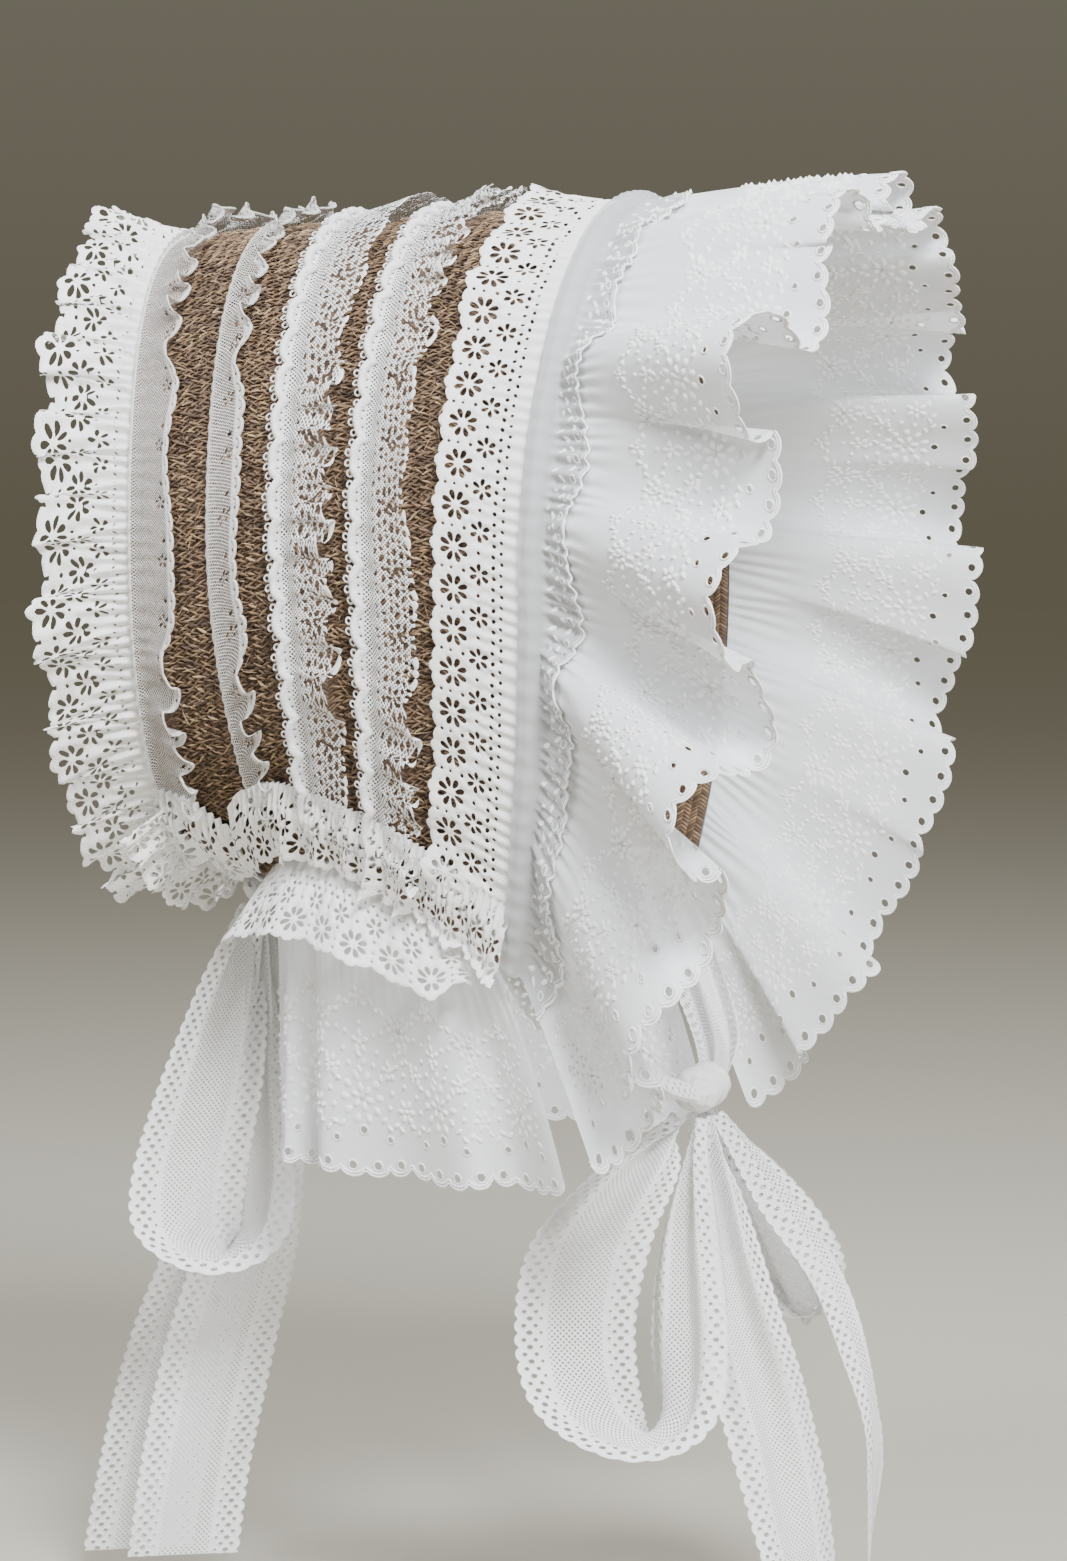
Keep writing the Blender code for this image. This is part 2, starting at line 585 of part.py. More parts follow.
def lower_edge(place):
    """A point of the crown's lower edge, from the right front end round the nape to the left."""
    side = -1 if place < 0.5 else 1
    share = abs(place - 0.5) * 2
    station = NAPE_STATION + (CURTAIN_FRONT_STATION - NAPE_STATION) * share ** 1.6
    after = next(i for i, grid_station in enumerate(CROWN_STATIONS) if grid_station > station)
    low, high = CROWN_STATIONS[after - 1], CROWN_STATIONS[after]
    point = crown_base(low, side).lerp(crown_base(high, side), (station - low) / (high - low))
    if share == 0:
        point.x = 0.0
    return point


def curtain(material):
    """The eyelet curtain over the neck, hanging from the lower edge."""
    top = [lower_edge(j / CURTAIN_STEPS) for j in range(CURTAIN_STEPS + 1)]
    centre_y = sum(p.y for p in top) / len(top)
    grid = []
    for i in range(CURTAIN_ROWS + 1):
        share = i / CURTAIN_ROWS
        line = []
        for j, point in enumerate(top):
            outward = Vector((point.x, (point.y - centre_y) * CURTAIN_OVAL, 0)).normalized()
            swing = CURTAIN_DEPTH * share * math.cos(2 * math.pi * CURTAIN_FOLDS * j / CURTAIN_STEPS)
            hem = CURTAIN_HEM_Z + (CURTAIN_SCALLOP if j % 3 == 0 and i == CURTAIN_ROWS else 0.0)
            start = point.z - STRAW_THICKNESS / 2 - CURTAIN_TOP_GAP
            height = start + (hem - start) * share
            swing = swing - CURTAIN_DRAW_IN * share
            line.append(Vector((point.x, point.y, height)) + outward * swing)
        grid.append(line)
    pierced = {(CURTAIN_ROWS - 1, j) for j in range(1, CURTAIN_STEPS, 3)}
    return make_sheet("curtain", grid, CLOTH_THICKNESS, material, pierced)


def lower_edge_lace(side, material):
    """The flower lace that falls outside the lower edge, on one side of the nape."""
    steps = LOWER_LACE_WAVES * WAVE_STEPS
    first, last = LOWER_LACE[side]
    grid = []
    for i in range(FRILL_CELLS + 1):
        share = i / FRILL_CELLS
        line = []
        for j in range(steps + 1):
            place = first + (last - first) * j / steps
            away = abs(place - 0.5) * 2
            point = lower_edge(place)
            outward = Vector((point.x, (point.y + 0.01) * 1.2, 0)).normalized()
            run = LOWER_LACE_WIDTH * share
            swing = LOWER_LACE_DEPTH * share * wave(j / WAVE_STEPS)
            lean = LOWER_LACE_LEAN_NAPE + (LOWER_LACE_LEAN_FRONT - LOWER_LACE_LEAN_NAPE) * away
            start = point + outward * LOWER_LACE_OUT + Vector((0, 0, -LOWER_LACE_DROP))
            fall = Vector((0, 0, -run * LOWER_LACE_FALL))
            line.append(start + outward * (run * lean + swing) + fall)
        grid.append(line)
    return make_sheet("lower_edge_lace_" + side, grid, CLOTH_THICKNESS, material)


def knot(name, sizes, material):
    """A tied knot, a block with rounded edges."""
    bm = bmesh.new()
    bmesh.ops.create_cube(bm, size=0.001)
    for v in bm.verts:
        v.co.x = v.co.x * sizes["size_x"] + sizes["x"] / 1000
        v.co.y = v.co.y * sizes["size_y"] + sizes["y"] / 1000
        v.co.z = v.co.z * sizes["size_z"] + sizes["z"] / 1000
    bmesh.ops.bevel(bm, geom=bm.edges[:], offset=KNOT_BEVEL, segments=1, affect="EDGES")
    return finish_mesh(name, bm, material)


def ribbon(name, rows, material):
    """A lace ribbon along its rows."""
    grid = [[], []]
    for step in range(RIBBON_STEPS + 1):
        place = step / RIBBON_STEPS
        middle = Vector([read_rows(rows, place, axis) / 1000 for axis in ("x", "y", "z")])
        facing = math.radians(read_rows(rows, place, "facing"))
        across = Vector((math.cos(facing), math.sin(facing), 0))
        half = read_rows(rows, place, "width") / 2000
        grid[0].append(middle - across * half)
        grid[1].append(middle + across * half)
    return make_sheet(name, grid, RIBBON_THICKNESS, material)


def main():
    clear_scene()
    white = make_material("cotton_lace", WHITE, 0.85)
    shade = make_material("cotton_ribbon_lace", SHADE, 0.85)
    straw = make_material("straw_braid", STRAW, 0.8)
    straw_crown(straw)
    crown_tip(straw)
    for name, band in CROWN_BANDS.items():
        crown_band(name, band, white)
    back_edge_frill(white)
    nape_ruffle(white)
    face_ruffle(white)
    rim_lace(shade)
    rim_roll(white)
    curtain(white)
    for side in LOWER_LACE:
        lower_edge_lace(side, shade)
    knot("chin_knot", CHIN_KNOT, shade)
    knot("nape_knot", NAPE_KNOT, shade)
    for name, rows in RIBBONS.items():
        ribbon(name, rows, shade)


main()
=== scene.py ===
import math
import bpy
import numpy as np
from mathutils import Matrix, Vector


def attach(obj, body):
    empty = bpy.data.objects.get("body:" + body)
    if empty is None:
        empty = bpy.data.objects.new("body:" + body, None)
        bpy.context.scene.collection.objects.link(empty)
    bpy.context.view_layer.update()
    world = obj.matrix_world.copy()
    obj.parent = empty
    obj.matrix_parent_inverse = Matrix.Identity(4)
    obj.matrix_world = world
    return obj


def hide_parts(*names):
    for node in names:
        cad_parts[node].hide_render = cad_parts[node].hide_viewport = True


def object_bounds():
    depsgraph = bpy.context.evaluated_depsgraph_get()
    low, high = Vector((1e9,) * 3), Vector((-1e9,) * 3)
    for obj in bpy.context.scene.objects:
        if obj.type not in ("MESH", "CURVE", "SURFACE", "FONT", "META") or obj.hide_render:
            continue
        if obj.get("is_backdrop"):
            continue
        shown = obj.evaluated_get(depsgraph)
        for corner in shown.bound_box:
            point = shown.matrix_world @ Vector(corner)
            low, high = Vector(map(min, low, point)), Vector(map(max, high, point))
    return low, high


# A lace and straw bonnet as it sits when worn. The face looks along -Y, metres, +Z up.
# Cloth and lace are drawn flat in millimetres (u along the strip, v across it), cut out, and
# then gathered onto the crown. Sizes shared with the solids have the same values as there.
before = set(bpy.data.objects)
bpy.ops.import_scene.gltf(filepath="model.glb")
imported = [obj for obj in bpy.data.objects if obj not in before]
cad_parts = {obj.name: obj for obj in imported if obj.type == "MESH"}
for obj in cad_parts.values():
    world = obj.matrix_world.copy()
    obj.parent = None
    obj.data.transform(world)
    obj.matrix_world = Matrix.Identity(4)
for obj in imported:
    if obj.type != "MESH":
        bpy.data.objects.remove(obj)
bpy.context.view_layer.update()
bpy.ops.object.select_all(action="DESELECT")
print("frame loaded")

mm = 0.001
tau = 2 * math.pi

# Camera at the photograph's angle
camera = {"target": (0.0, -0.0414, -0.177), "azimuth": -70, "elevation": 4, "distance": 1.15, "lens": 82.9}
azimuth, elevation = math.radians(camera["azimuth"]), math.radians(camera["elevation"])
back = Vector((math.sin(azimuth), -math.cos(azimuth), 0)) * math.cos(elevation)
back += Vector((0, 0, math.sin(elevation)))
bpy.ops.object.camera_add(location=Vector(camera["target"]) + back * camera["distance"])
cameraObject = bpy.context.object
cameraObject.rotation_euler = (-back).to_track_quat("-Z", "Y").to_euler()
cameraObject.data.lens = camera["lens"]
cameraObject.data.clip_start, cameraObject.data.clip_end = 0.05, 60
bpy.context.scene.camera = cameraObject


def linear(code):
    # sRGB hex to the linear colour that nodes take
    parts = [int(code[k:k + 2], 16) / 255 for k in (1, 3, 5)]
    return tuple(p / 12.92 if p <= 0.04045 else ((p + 0.055) / 1.055) ** 2.4 for p in parts) + (1.0,)


def fill(material, node, inputs):
    # each input takes a value, or a link from another node
    for key, value in inputs.items():
        if isinstance(value, bpy.types.NodeSocket):
            material.node_tree.links.new(value, node.inputs[key])
        else:
            node.inputs[key].default_value = value


def addNode(material, kind, *values, settings=None, stops=(), output=0, **named):
    # one node: its kind and operation, its inputs in order or by name, and any colour stops
    kind, *operation = kind.split()
    node = material.node_tree.nodes.new("ShaderNode" + kind)
    for key, value in (settings or {}).items():
        setattr(node, key, value)
    if operation:
        node.operation = operation[0]
    for k, (place, colour) in enumerate(stops):
        element = node.color_ramp.elements[k] if k < 2 else node.color_ramp.elements.new(place)
        element.position, element.color = place, colour
    fill(material, node, {**dict(enumerate(values)), **named})
    return node.outputs[output]


def newMaterial(name, inputs):
    material = bpy.data.materials.new(name)
    material.use_nodes = True
    shader = material.node_tree.nodes["Principled BSDF"]
    fill(material, shader, inputs)
    return material, shader


# Stage
light = {
    "floorZ": -0.462, "floor": "#C2BDAF", "world": "#B9B5A4", "horizon": "#8E8873", "worldStrength": 0.42,
}
bpy.ops.mesh.primitive_plane_add(size=30, location=(0, 0, light["floorZ"]))
floor = bpy.context.object
floor.name = "floor"
floorLook = {"Base Color": linear(light["floor"]), "Roughness": 0.9}
floor.data.materials.append(newMaterial("matt_floor", floorLook)[0])
floor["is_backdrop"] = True
world = bpy.context.scene.world or bpy.data.worlds.new("studio")
bpy.context.scene.world = world
world.use_nodes = True
# darker towards the horizon, where it meets the floor's own far colour without a line
height = addNode(world, "SeparateXYZ", addNode(world, "TexCoord", output="Generated"), output=2)
tones = ((0.0, linear(light["horizon"])), (0.35, linear(light["world"])))
sky = addNode(world, "ValToRGB", height, stops=tones)
fill(world, world.node_tree.nodes["Background"], {"Color": sky, "Strength": light["worldStrength"]})
lamps = (
    {"name": "window", "at": (-1.10, -0.85, 1.05), "size": 0.5, "power": 70, "colour": "#F8FAFF"},
    {"name": "front_fill", "at": (-0.45, -1.5, 0.0), "size": 0.9, "power": 14, "colour": "#F4F7FF"},
    {"name": "back_soft", "at": (-0.95, 0.55, 1.15), "size": 0.6, "power": 24, "colour": "#F4F7FF"},
    {"name": "top_soft", "at": (0.3, -0.2, 1.5), "size": 0.9, "power": 14, "colour": "#FFFFFF"},
)
lampAim = Vector((0, -0.03, -0.15))
for lamp in lamps:
    bpy.ops.object.light_add(type="AREA", location=lamp["at"])
    lampObject = bpy.context.object
    lampObject.name = lamp["name"]
    lampObject.data.size = lamp["size"]
    lampObject.data.energy = lamp["power"]
    lampObject.data.color = linear(lamp["colour"])[:3]
    lampObject.rotation_euler = (lampAim - Vector(lamp["at"])).to_track_quat("-Z", "Y").to_euler()
print("camera, floor and lights")

# The crown's shape, one value for each of six even steps from the back edge to the rim
crown = {
    "length": 0.161, "backY": 0.079, "topLift": 0.011, "straw": 0.002,
    "reachClosed": 87.0, "reachRim": 36.0, "napeStation": 0.20,
    "halfWidth": (0.074, 0.078, 0.082, 0.086, 0.089, 0.092),
    "upper": (0.099, 0.101, 0.104, 0.108, 0.112, 0.115),
    "lower": (0.100, 0.108, 0.124, 0.150, 0.176, 0.200),
    "drop": (0.015, 0.012, 0.011, 0.010, 0.009, 0.008),
    "side": (-0.012, -0.009, -0.006, -0.003, 0.001, 0.004),
    "end": (-0.009, -0.006, 0.0, 0.006, 0.010, 0.014),
}
crownLong = round(crown["length"] / mm)
skin = crown["straw"] / 2       # from the middle of the straw wall to its face
laceLift = skin + 0.0009        # and to the middle of a lace that is sewn to it


def smooth(value, low, high):
    t = np.clip((value - low) / (high - low), 0, 1)
    return t * t * (3 - 2 * t)


def nearest(u, period):
    return (u + period / 2) % period - period / 2


def unit(vectors):
    return vectors / np.maximum(np.linalg.norm(vectors, axis=-1, keepdims=True), 1e-12)


def lengthsAlong(points):
    return np.concatenate(([0], np.cumsum(np.linalg.norm(np.diff(points, axis=0), axis=1))))


def readRows(values, place):
    # a smooth curve through evenly spaced values, for places from 0 to 1
    values = np.asarray(values, float)
    steps = len(values) - 1
    at = np.clip(place, 0, 1) * steps
    index = np.minimum(at.astype(int), steps - 1)
    f = at - index
    a, b, c, d = (values[np.clip(index + k, 0, steps)] for k in (-1, 0, 1, 2))
    curve = 2 * b + (c - a) * f + (2 * a - 5 * b + 4 * c - d) * f ** 2
    return 0.5 * (curve + (3 * b - a - 3 * c + d) * f ** 3)


def makeCrownTable(stations=161, shares=161):
    # x, y and z over station by share of the way round one half, at even lengths of the section
    table = np.zeros((stations, shares, 3))
    quarter = math.pi / 2
    for i, s in enumerate(np.linspace(0, 1, stations)):
        rows = (crown[k] for k in ("halfWidth", "upper", "lower", "drop", "side", "end"))
        width, upper, lower, drop, side, end = (float(readRows(row, np.array(s))) for row in rows)
        opened = max(0.0, (s - crown["napeStation"]) / (1 - crown["napeStation"]))
        closing = (crown["reachClosed"] - crown["reachRim"]) * (1 - math.sqrt(opened)) ** 2
        reach = math.radians(crown["reachRim"] + closing)
        angle = np.linspace(0, quarter + reach, 400)
        below = np.maximum(angle - quarter, 0)
        across = np.where(angle <= quarter, width * np.sin(angle), width * np.cos(below))
        high = np.where(angle <= quarter, -upper * (1 - np.cos(angle)), -upper - lower * np.sin(below)) - drop
        length = lengthsAlong(np.stack((across, high), 1))
        wanted = np.linspace(0, length[-1], shares)
        across, high, low = (np.interp(wanted, length, k) for k in (across, high, below / reach))
        table[i, :, 0] = across
        table[i, :, 1] = crown["backY"] - crown["length"] * s + side * (across / width) ** 2 + end * low ** 2
        table[i, :, 2] = high + crown["topLift"]
    return table


crownTable = makeCrownTable()


def crownBase(station, turn):
    # the middle of the straw wall; turn is -1 at the right lower end and 1 at the left
    station, turn = np.broadcast_arrays(np.asarray(station, float), np.asarray(turn, float))
    held = np.clip(station, 0, 1)
    lastI, lastJ = crownTable.shape[0] - 1, crownTable.shape[1] - 1
    i, j = held * lastI, np.clip(np.abs(turn), 0, 1) * lastJ
    i0, j0 = np.minimum(i.astype(int), lastI - 1), np.minimum(j.astype(int), lastJ - 1)
    fi, fj = (i - i0)[..., None], (j - j0)[..., None]
    point = (crownTable[i0, j0] * (1 - fi) * (1 - fj) + crownTable[i0 + 1, j0] * fi * (1 - fj)
             + crownTable[i0, j0 + 1] * (1 - fi) * fj + crownTable[i0 + 1, j0 + 1] * fi * fj)
    point[..., 0] *= np.where(turn < 0, -1, 1)
    point[..., 1] -= crown["length"] * (station - held)
    return point


def crownOut(station, turn):
    # the way out of the crown's wall
    step = 0.012
    held, turn = np.clip(station, step, 1 - step), np.asarray(turn)
    around = crownBase(held, np.clip(turn + step, -1, 1)) - crownBase(held, np.clip(turn - step, -1, 1))
    along = crownBase(held + step, turn) - crownBase(held - step, turn)
    return -unit(np.cross(around, along))


def crownPoint(station, turn, lift=0.0):
    return crownBase(station, turn) + crownOut(station, turn) * np.asarray(lift, float)[..., None]


def halfLength(station):
    # millimetres round one half of the crown's section
    lengths = np.linalg.norm(np.diff(crownTable, axis=1), axis=2).sum(1) / mm
    return np.interp(np.clip(station, 0, 1) * (len(lengths) - 1), np.arange(len(lengths)), lengths)


# Meshes
def buildPiece(name, nodes, points, faces, material, flat, values=None, flip=False, wrap=None):
    # a mesh with its flat millimetres as UV, and named values at its points. wrap is the axis
    # and length of a closed way round, so that the UV runs on over its seam.
    mesh = bpy.data.meshes.new(name)
    polygons = []
    for group in faces:
        polygons += (group[:, ::-1] if flip else group).tolist()
    mesh.from_pydata(points.tolist(), [], polygons)
    corners = np.zeros(len(mesh.loops), int)
    mesh.loops.foreach_get("vertex_index", corners)
    cloth = flat[corners]
    if wrap is not None:
        axis, around = wrap
        sizes = np.array([len(p) for p in polygons])
        most = np.repeat(np.maximum.reduceat(cloth[:, axis], np.cumsum(sizes) - sizes), sizes)
        cloth[:, axis] += np.where(cloth[:, axis] < most - around / 2, around, 0)
    mesh.uv_layers.new(name="cloth").data.foreach_set("uv", (cloth / 100).astype(np.float32).ravel())
    for key, value in (values or {}).items():
        mesh.attributes.new(key, "FLOAT", "POINT").data.foreach_set("value", np.asarray(value, np.float32))
    mesh.shade_smooth()
    mesh.materials.append(material)
    item = bpy.data.objects.new(name, mesh)
    bpy.context.scene.collection.objects.link(item)
    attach(item, "root")
    if nodes:
        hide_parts(*nodes)
    return item


def wrapFaces(rows, sides, closed=False):
    # quads round a tube of rows rings
    r = np.arange(rows if closed else rows - 1)[:, None]
    k = np.arange(sides)[None, :]
    after, turnOn = (r + 1) % rows, (k + 1) % sides
    corners = (r * sides + k, after * sides + k, after * sides + turnOn, r * sides + turnOn)
    return np.stack(corners, -1).reshape(-1, 4)


def tubeEnds(rows, sides):
    first = np.arange(sides)[None]
    return [first[:, ::-1], first + (rows - 1) * sides]


def repeatFaces(face, count, points):
    # the faces of one small shape for count copies of it
    return (face[None] + (np.arange(count) * points)[:, None, None]).reshape(-1, face.shape[1])


def flatTube(u, v, lift, radius, sides=5):
    # a thread that lies on the flat cloth
    u, v = np.asarray(u, float), np.asarray(v, float)
    du, dv = np.gradient(u), np.gradient(v)
    long = np.maximum(np.hypot(du, dv), 1e-9)
    a = np.arange(sides) * tau / sides
    ringU = u[:, None] + (dv / long)[:, None] * radius * np.cos(a)
    ringV = v[:, None] - (du / long)[:, None] * radius * np.cos(a)
    ringLift = np.broadcast_to(lift + radius * np.sin(a), ringU.shape)
    return ringU.ravel(), ringV.ravel(), ringLift.ravel(), [wrapFaces(len(u), sides)]


def flatRings(cu, cv, radius, thread, lift, steps=10, sides=4):
    # small thread rings, one at each centre
    a = (np.arange(steps) * tau / steps)[:, None]
    b = (np.arange(sides) * tau / sides)[None, :]
    shapeU = ((radius + thread * np.cos(b)) * np.cos(a)).ravel()
    shapeV = ((radius + thread * np.cos(b)) * np.sin(a)).ravel()
    rings = lift + np.broadcast_to(thread * np.sin(b), (len(cu), steps, sides))
    faces = repeatFaces(wrapFaces(steps, sides, True), len(cu), steps * sides)
    return (cu[:, None] + shapeU).ravel(), (cv[:, None] + shapeV).ravel(), rings.ravel(), [faces]


def flatLeaves(cu, cv, angle, long, wide, high):
    # domed leaves of satin stitch, on the back of the cloth where high is below nought
    shape = np.shape(cu)
    columns = (np.asarray(k, float) for k in (cu, cv, angle, long, wide))
    cu, cv, angle, long, wide = (np.broadcast_to(k, shape).ravel()[:, None] for k in columns)
    a = (np.arange(8) * tau / 8)[None, :]
    x, y = np.concatenate((long * np.cos(a), 0 * long), 1), np.concatenate((wide * np.sin(a), 0 * wide), 1)
    lift = np.broadcast_to(np.concatenate((np.full(8, math.copysign(0.02, high)), [high])), x.shape)
    u, v = cu + x * np.cos(angle) - y * np.sin(angle), cv + x * np.sin(angle) + y * np.cos(angle)
    k = np.arange(8)
    face = np.stack((k, (k + 1) % 8, np.full(8, 8)), 1)[:, :: 1 if high > 0 else -1]
    return u.ravel(), v.ravel(), lift.ravel(), [repeatFaces(face, len(cu), 9)]


def together(*shapes):
    # several flat shapes as one
    us, vs, lifts, faces, count = [], [], [], [], 0
    for u, v, lift, groups in shapes:
        us.append(u)
        vs.append(v)
        lifts.append(lift)
        faces += [g + count for g in groups]
        count += len(u)
    return np.concatenate(us), np.concatenate(vs), np.concatenate(lifts), faces


def cutOut(us, vs, field):
    # keeps the part of the grid where field is above zero and cuts its edge between grid lines
    columns, rows = field.shape
    inside = field > 0
    count = columns * rows
    u, v = np.meshgrid(us, vs, indexing="ij")
    stepU, stepV = field[:-1] - field[1:], field[:, :-1] - field[:, 1:]
    tu = np.clip(field[:-1] / np.where(stepU == 0, 1, stepU), 0.06, 0.94)
    tv = np.clip(field[:, :-1] / np.where(stepV == 0, 1, stepV), 0.06, 0.94)
    allU = np.concatenate((u.ravel(), (u[:-1] + (u[1:] - u[:-1]) * tu).ravel(), u[:, :-1].ravel()))
    allV = np.concatenate((v.ravel(), v[:-1].ravel(), (v[:, :-1] + (v[:, 1:] - v[:, :-1]) * tv).ravel()))
    depth = np.concatenate((field.ravel(), np.zeros((columns - 1) * rows + columns * (rows - 1))))
    kind = inside[:-1, :-1] * 1 + inside[1:, :-1] * 2 + inside[1:, 1:] * 4 + inside[:-1, 1:] * 8
    faces = []
    for case in range(1, 16):
        i, j = np.nonzero(kind == case)
        if not len(i):
            continue
        corner = i * rows + j
        crossU = count + corner
        crossV = count + (columns - 1) * rows + i * (rows - 1) + j
        corners = (corner, corner + rows, corner + rows + 1, corner + 1)
        edges = (crossU, crossV + rows - 1, crossU + 1, crossV)
        around = []
        for k in range(4):
            here, after = case >> k & 1, case >> (k + 1) % 4 & 1
            if here:
                around.append(corners[k])
            if here != after:
                around.append(edges[k])
        faces.append(np.stack(around, axis=1))
    used = np.unique(np.concatenate([f.ravel() for f in faces]))
    renumber = np.zeros(len(allU), int)
    renumber[used] = np.arange(len(used))
    return allU[used], allV[used], depth[used], [renumber[f] for f in faces]


# Cotton
def makeCotton(name, colour, thread, bump, net=0.0, bar=0.0, sheer=1.0):
    # white cotton: matt, with a little fuzz that lightens its edges, and threads that show as
    # fine relief, one each thread millimetres. Where the value net is 1, the cloth is an open
    # diamond net with a mesh each net millimetres. The noise is a spun thread's unevenness.
    material, shader = newMaterial(name, {
        "Roughness": 0.88, "Sheen Weight": 0.25, "Sheen Roughness": 0.6, "Specular IOR Level": 0.25,
        "Alpha": sheer})
    cloth = addNode(material, "UVMap", settings={"uv_map": "cloth"})
    place = addNode(material, "VectorMath SCALE", cloth, Scale=100.0)
    sides = addNode(material, "SeparateXYZ", place).node.outputs[:2]
    turns = [addNode(material, "Math MULTIPLY", side, tau / thread) for side in sides]
    weave = addNode(material, "Math MULTIPLY", *(addNode(material, "Math SINE", turn) for turn in turns))
    grain = addNode(material, "TexNoise", Vector=place, Scale=0.9 / thread, Detail=3.0)
    height = addNode(material, "Math MULTIPLY_ADD", weave, 0.35, grain)
    tint = addNode(material, "TexNoise", Vector=place, Scale=0.06, Detail=2.0)
    lighter = tuple(min(1.0, c * 1.03) for c in linear(colour))
    fill(material, shader, {
        "Base Color": addNode(material, "ValToRGB", tint, stops=((0.3, linear(colour)), (0.7, lighter))),
        "Normal": addNode(material, "Bump", Strength=bump, Distance=0.0006, Height=height)})
    if net:
        gaps = []
        for way in ("ADD", "SUBTRACT"):
            across = addNode(material, "Math DIVIDE", addNode(material, "Math " + way, *sides), net)
            gaps.append(addNode(material, "Math GREATER_THAN", addNode(material, "Math FRACT", across), bar))
        ground = addNode(material, "Attribute", settings={"attribute_name": "net"}, output="Fac")
        hole = addNode(material, "Math MULTIPLY", addNode(material, "Math MULTIPLY", *gaps), ground)
        fill(material, shader, {"Alpha": addNode(material, "Math SUBTRACT", 1.0, hole)})
    return material


# firm threads, the brightest of the laces
laceCotton = makeCotton("bobbin_lace_cotton", "#F6F5F3", thread=0.9, bump=0.5, net=1.5, bar=0.42)
# a fine net that the straw shows through, so it looks greyer
netCotton = makeCotton("cotton_net", "#D3D1CD", thread=0.8, bump=0.4, net=1.1, bar=0.25)
# a thick cord and loops, rougher in the light, and a little greyer than the bobbin lace: painted shade for
# the many small shadows in its crinkled flounce
picotCottonShaded = makeCotton("picot_lace_cotton_painted_shade", "#EEEDEC", thread=0.9, bump=0.6, net=1.4, bar=0.36)
# thin, close and smooth, with some light through it
lawnCotton = makeCotton("cotton_lawn", "#E6E8EA", thread=0.8, bump=0.18, sheer=0.86)
# thinner still, and grey: partly from what lies under it showing through, and partly painted shade for the
# tape in shadow at the rim
shadedTapeCotton = makeCotton("sheer_tape_cotton_painted_shade", "#BEBFC0", thread=0.7, bump=0.3, sheer=0.80)
# packed parallel thread, the whitest
stitchCotton = makeCotton("satin_stitch_thread", "#FFFFFE", thread=0.5, bump=0.5)
# an open, soft net between close borders
ribbonCotton = makeCotton("torchon_lace_cotton", "#F4F4F4", thread=0.8, bump=0.5, net=1.8, bar=0.50)
# the same ribbon drawn into close pleats, where no net shows
ribbonSolid = makeCotton("pleated_ribbon_cotton", "#F0F0EF", thread=0.8, bump=0.6)

# The straw crown: a knitted wall, and real stitches where it shows between the laces
straw = {
    "stations": 66, "turns": 241, "gap": 0.0001, "seed": 7, "scatter": 9,
    "rowPitch": 3.7, "stitchPitch": 2.0, "legLong": 4.5, "legWide": 1.05, "legHigh": 0.6, "slant": 22,
    "bands": ((0.108, 0.236, 0.02), (0.272, 0.385, 0.04), (0.505, 0.580, 0.045), (0.690, 0.775, 0.02)),
    "wisps": 900, "reliefRow": 5.2, "reliefStrand": 1.25,
    "umberToGold": ("#3F2F24", "#6B5440", "#967A5C", "#CBB38B"),
}


def makeStraw(name, loose):
    # raffia, knitted: flat glossy strands in tones from umber to gold, with fine fibres. The wall
    # draws its strands as relief, one each 1.25 mm, and paints shade into the gaps between them;
    # loose stitches carry their tone in shade.
    material, shader = newMaterial(name, {"Roughness": 0.58, "Sheen Weight": 0.08, "Specular IOR Level": 0.4})
    cloth = addNode(material, "UVMap", settings={"uv_map": "cloth"})
    place = addNode(material, "VectorMath SCALE", cloth, Scale=100.0)
    around, along = addNode(material, "SeparateXYZ", place).node.outputs[:2]
    stretched = addNode(material, "VectorMath MULTIPLY", place, (5.0, 0.6, 0.0))
    fibres = addNode(material, "TexNoise", Vector=stretched, Scale=1.0, Detail=3.0)
    if loose:
        tone = addNode(material, "Attribute", settings={"attribute_name": "shade"}, output="Fac")
        height = fibres
    else:
        row = addNode(material, "Math DIVIDE", along, straw["reliefRow"])
        legs = addNode(material, "Math MULTIPLY", row, 2.0)
        strand = addNode(material, "Math DIVIDE", around, straw["reliefStrand"])
        zigzag = addNode(material, "Math PINGPONG", row, 0.5)
        lane = addNode(material, "Math MULTIPLY_ADD", zigzag, 2.4, strand)
        whole = [addNode(material, "Math FLOOR", side) for side in (lane, legs)]
        cell = addNode(material, "CombineXYZ", *whole)
        pick = addNode(material, "TexWhiteNoise", settings={"noise_dimensions": "2D"}, Vector=cell)
        parts = [addNode(material, "Math FRACT", side) for side in (lane, legs)]
        halves = [addNode(material, "Math MULTIPLY", part, math.pi) for part in parts]
        hump, arch = (addNode(material, "Math SINE", half) for half in halves)
        rise = addNode(material, "Math MULTIPLY", hump, arch)
        fine = addNode(material, "Math MULTIPLY", fibres, 0.4)
        height = addNode(material, "Math MULTIPLY_ADD", rise, 1.6, fine)
        picked = addNode(material, "Math MULTIPLY_ADD", pick, 0.6, 0.15)
        # painted shade: each strand is lightest on its crest and darkens to three tenths at its edges,
        # standing in for the shadow in the gaps between strands
        paintedGapShade = addNode(material, "Math MULTIPLY_ADD", hump, 0.7, 0.3)
        tone = addNode(material, "Math MULTIPLY", picked, paintedGapShade)
    tone = addNode(material, "Math ADD", tone, addNode(material, "Math MULTIPLY_ADD", fibres, 0.5, -0.25))
    stops = [(at, linear(code)) for at, code in zip((0.0, 0.35, 0.7, 1.0), straw["umberToGold"])]
    fill(material, shader, {
        "Base Color": addNode(material, "ValToRGB", tone, stops=stops),
        "Normal": addNode(material, "Bump", Strength=0.7, Distance=0.0007, Height=height)})
    return material


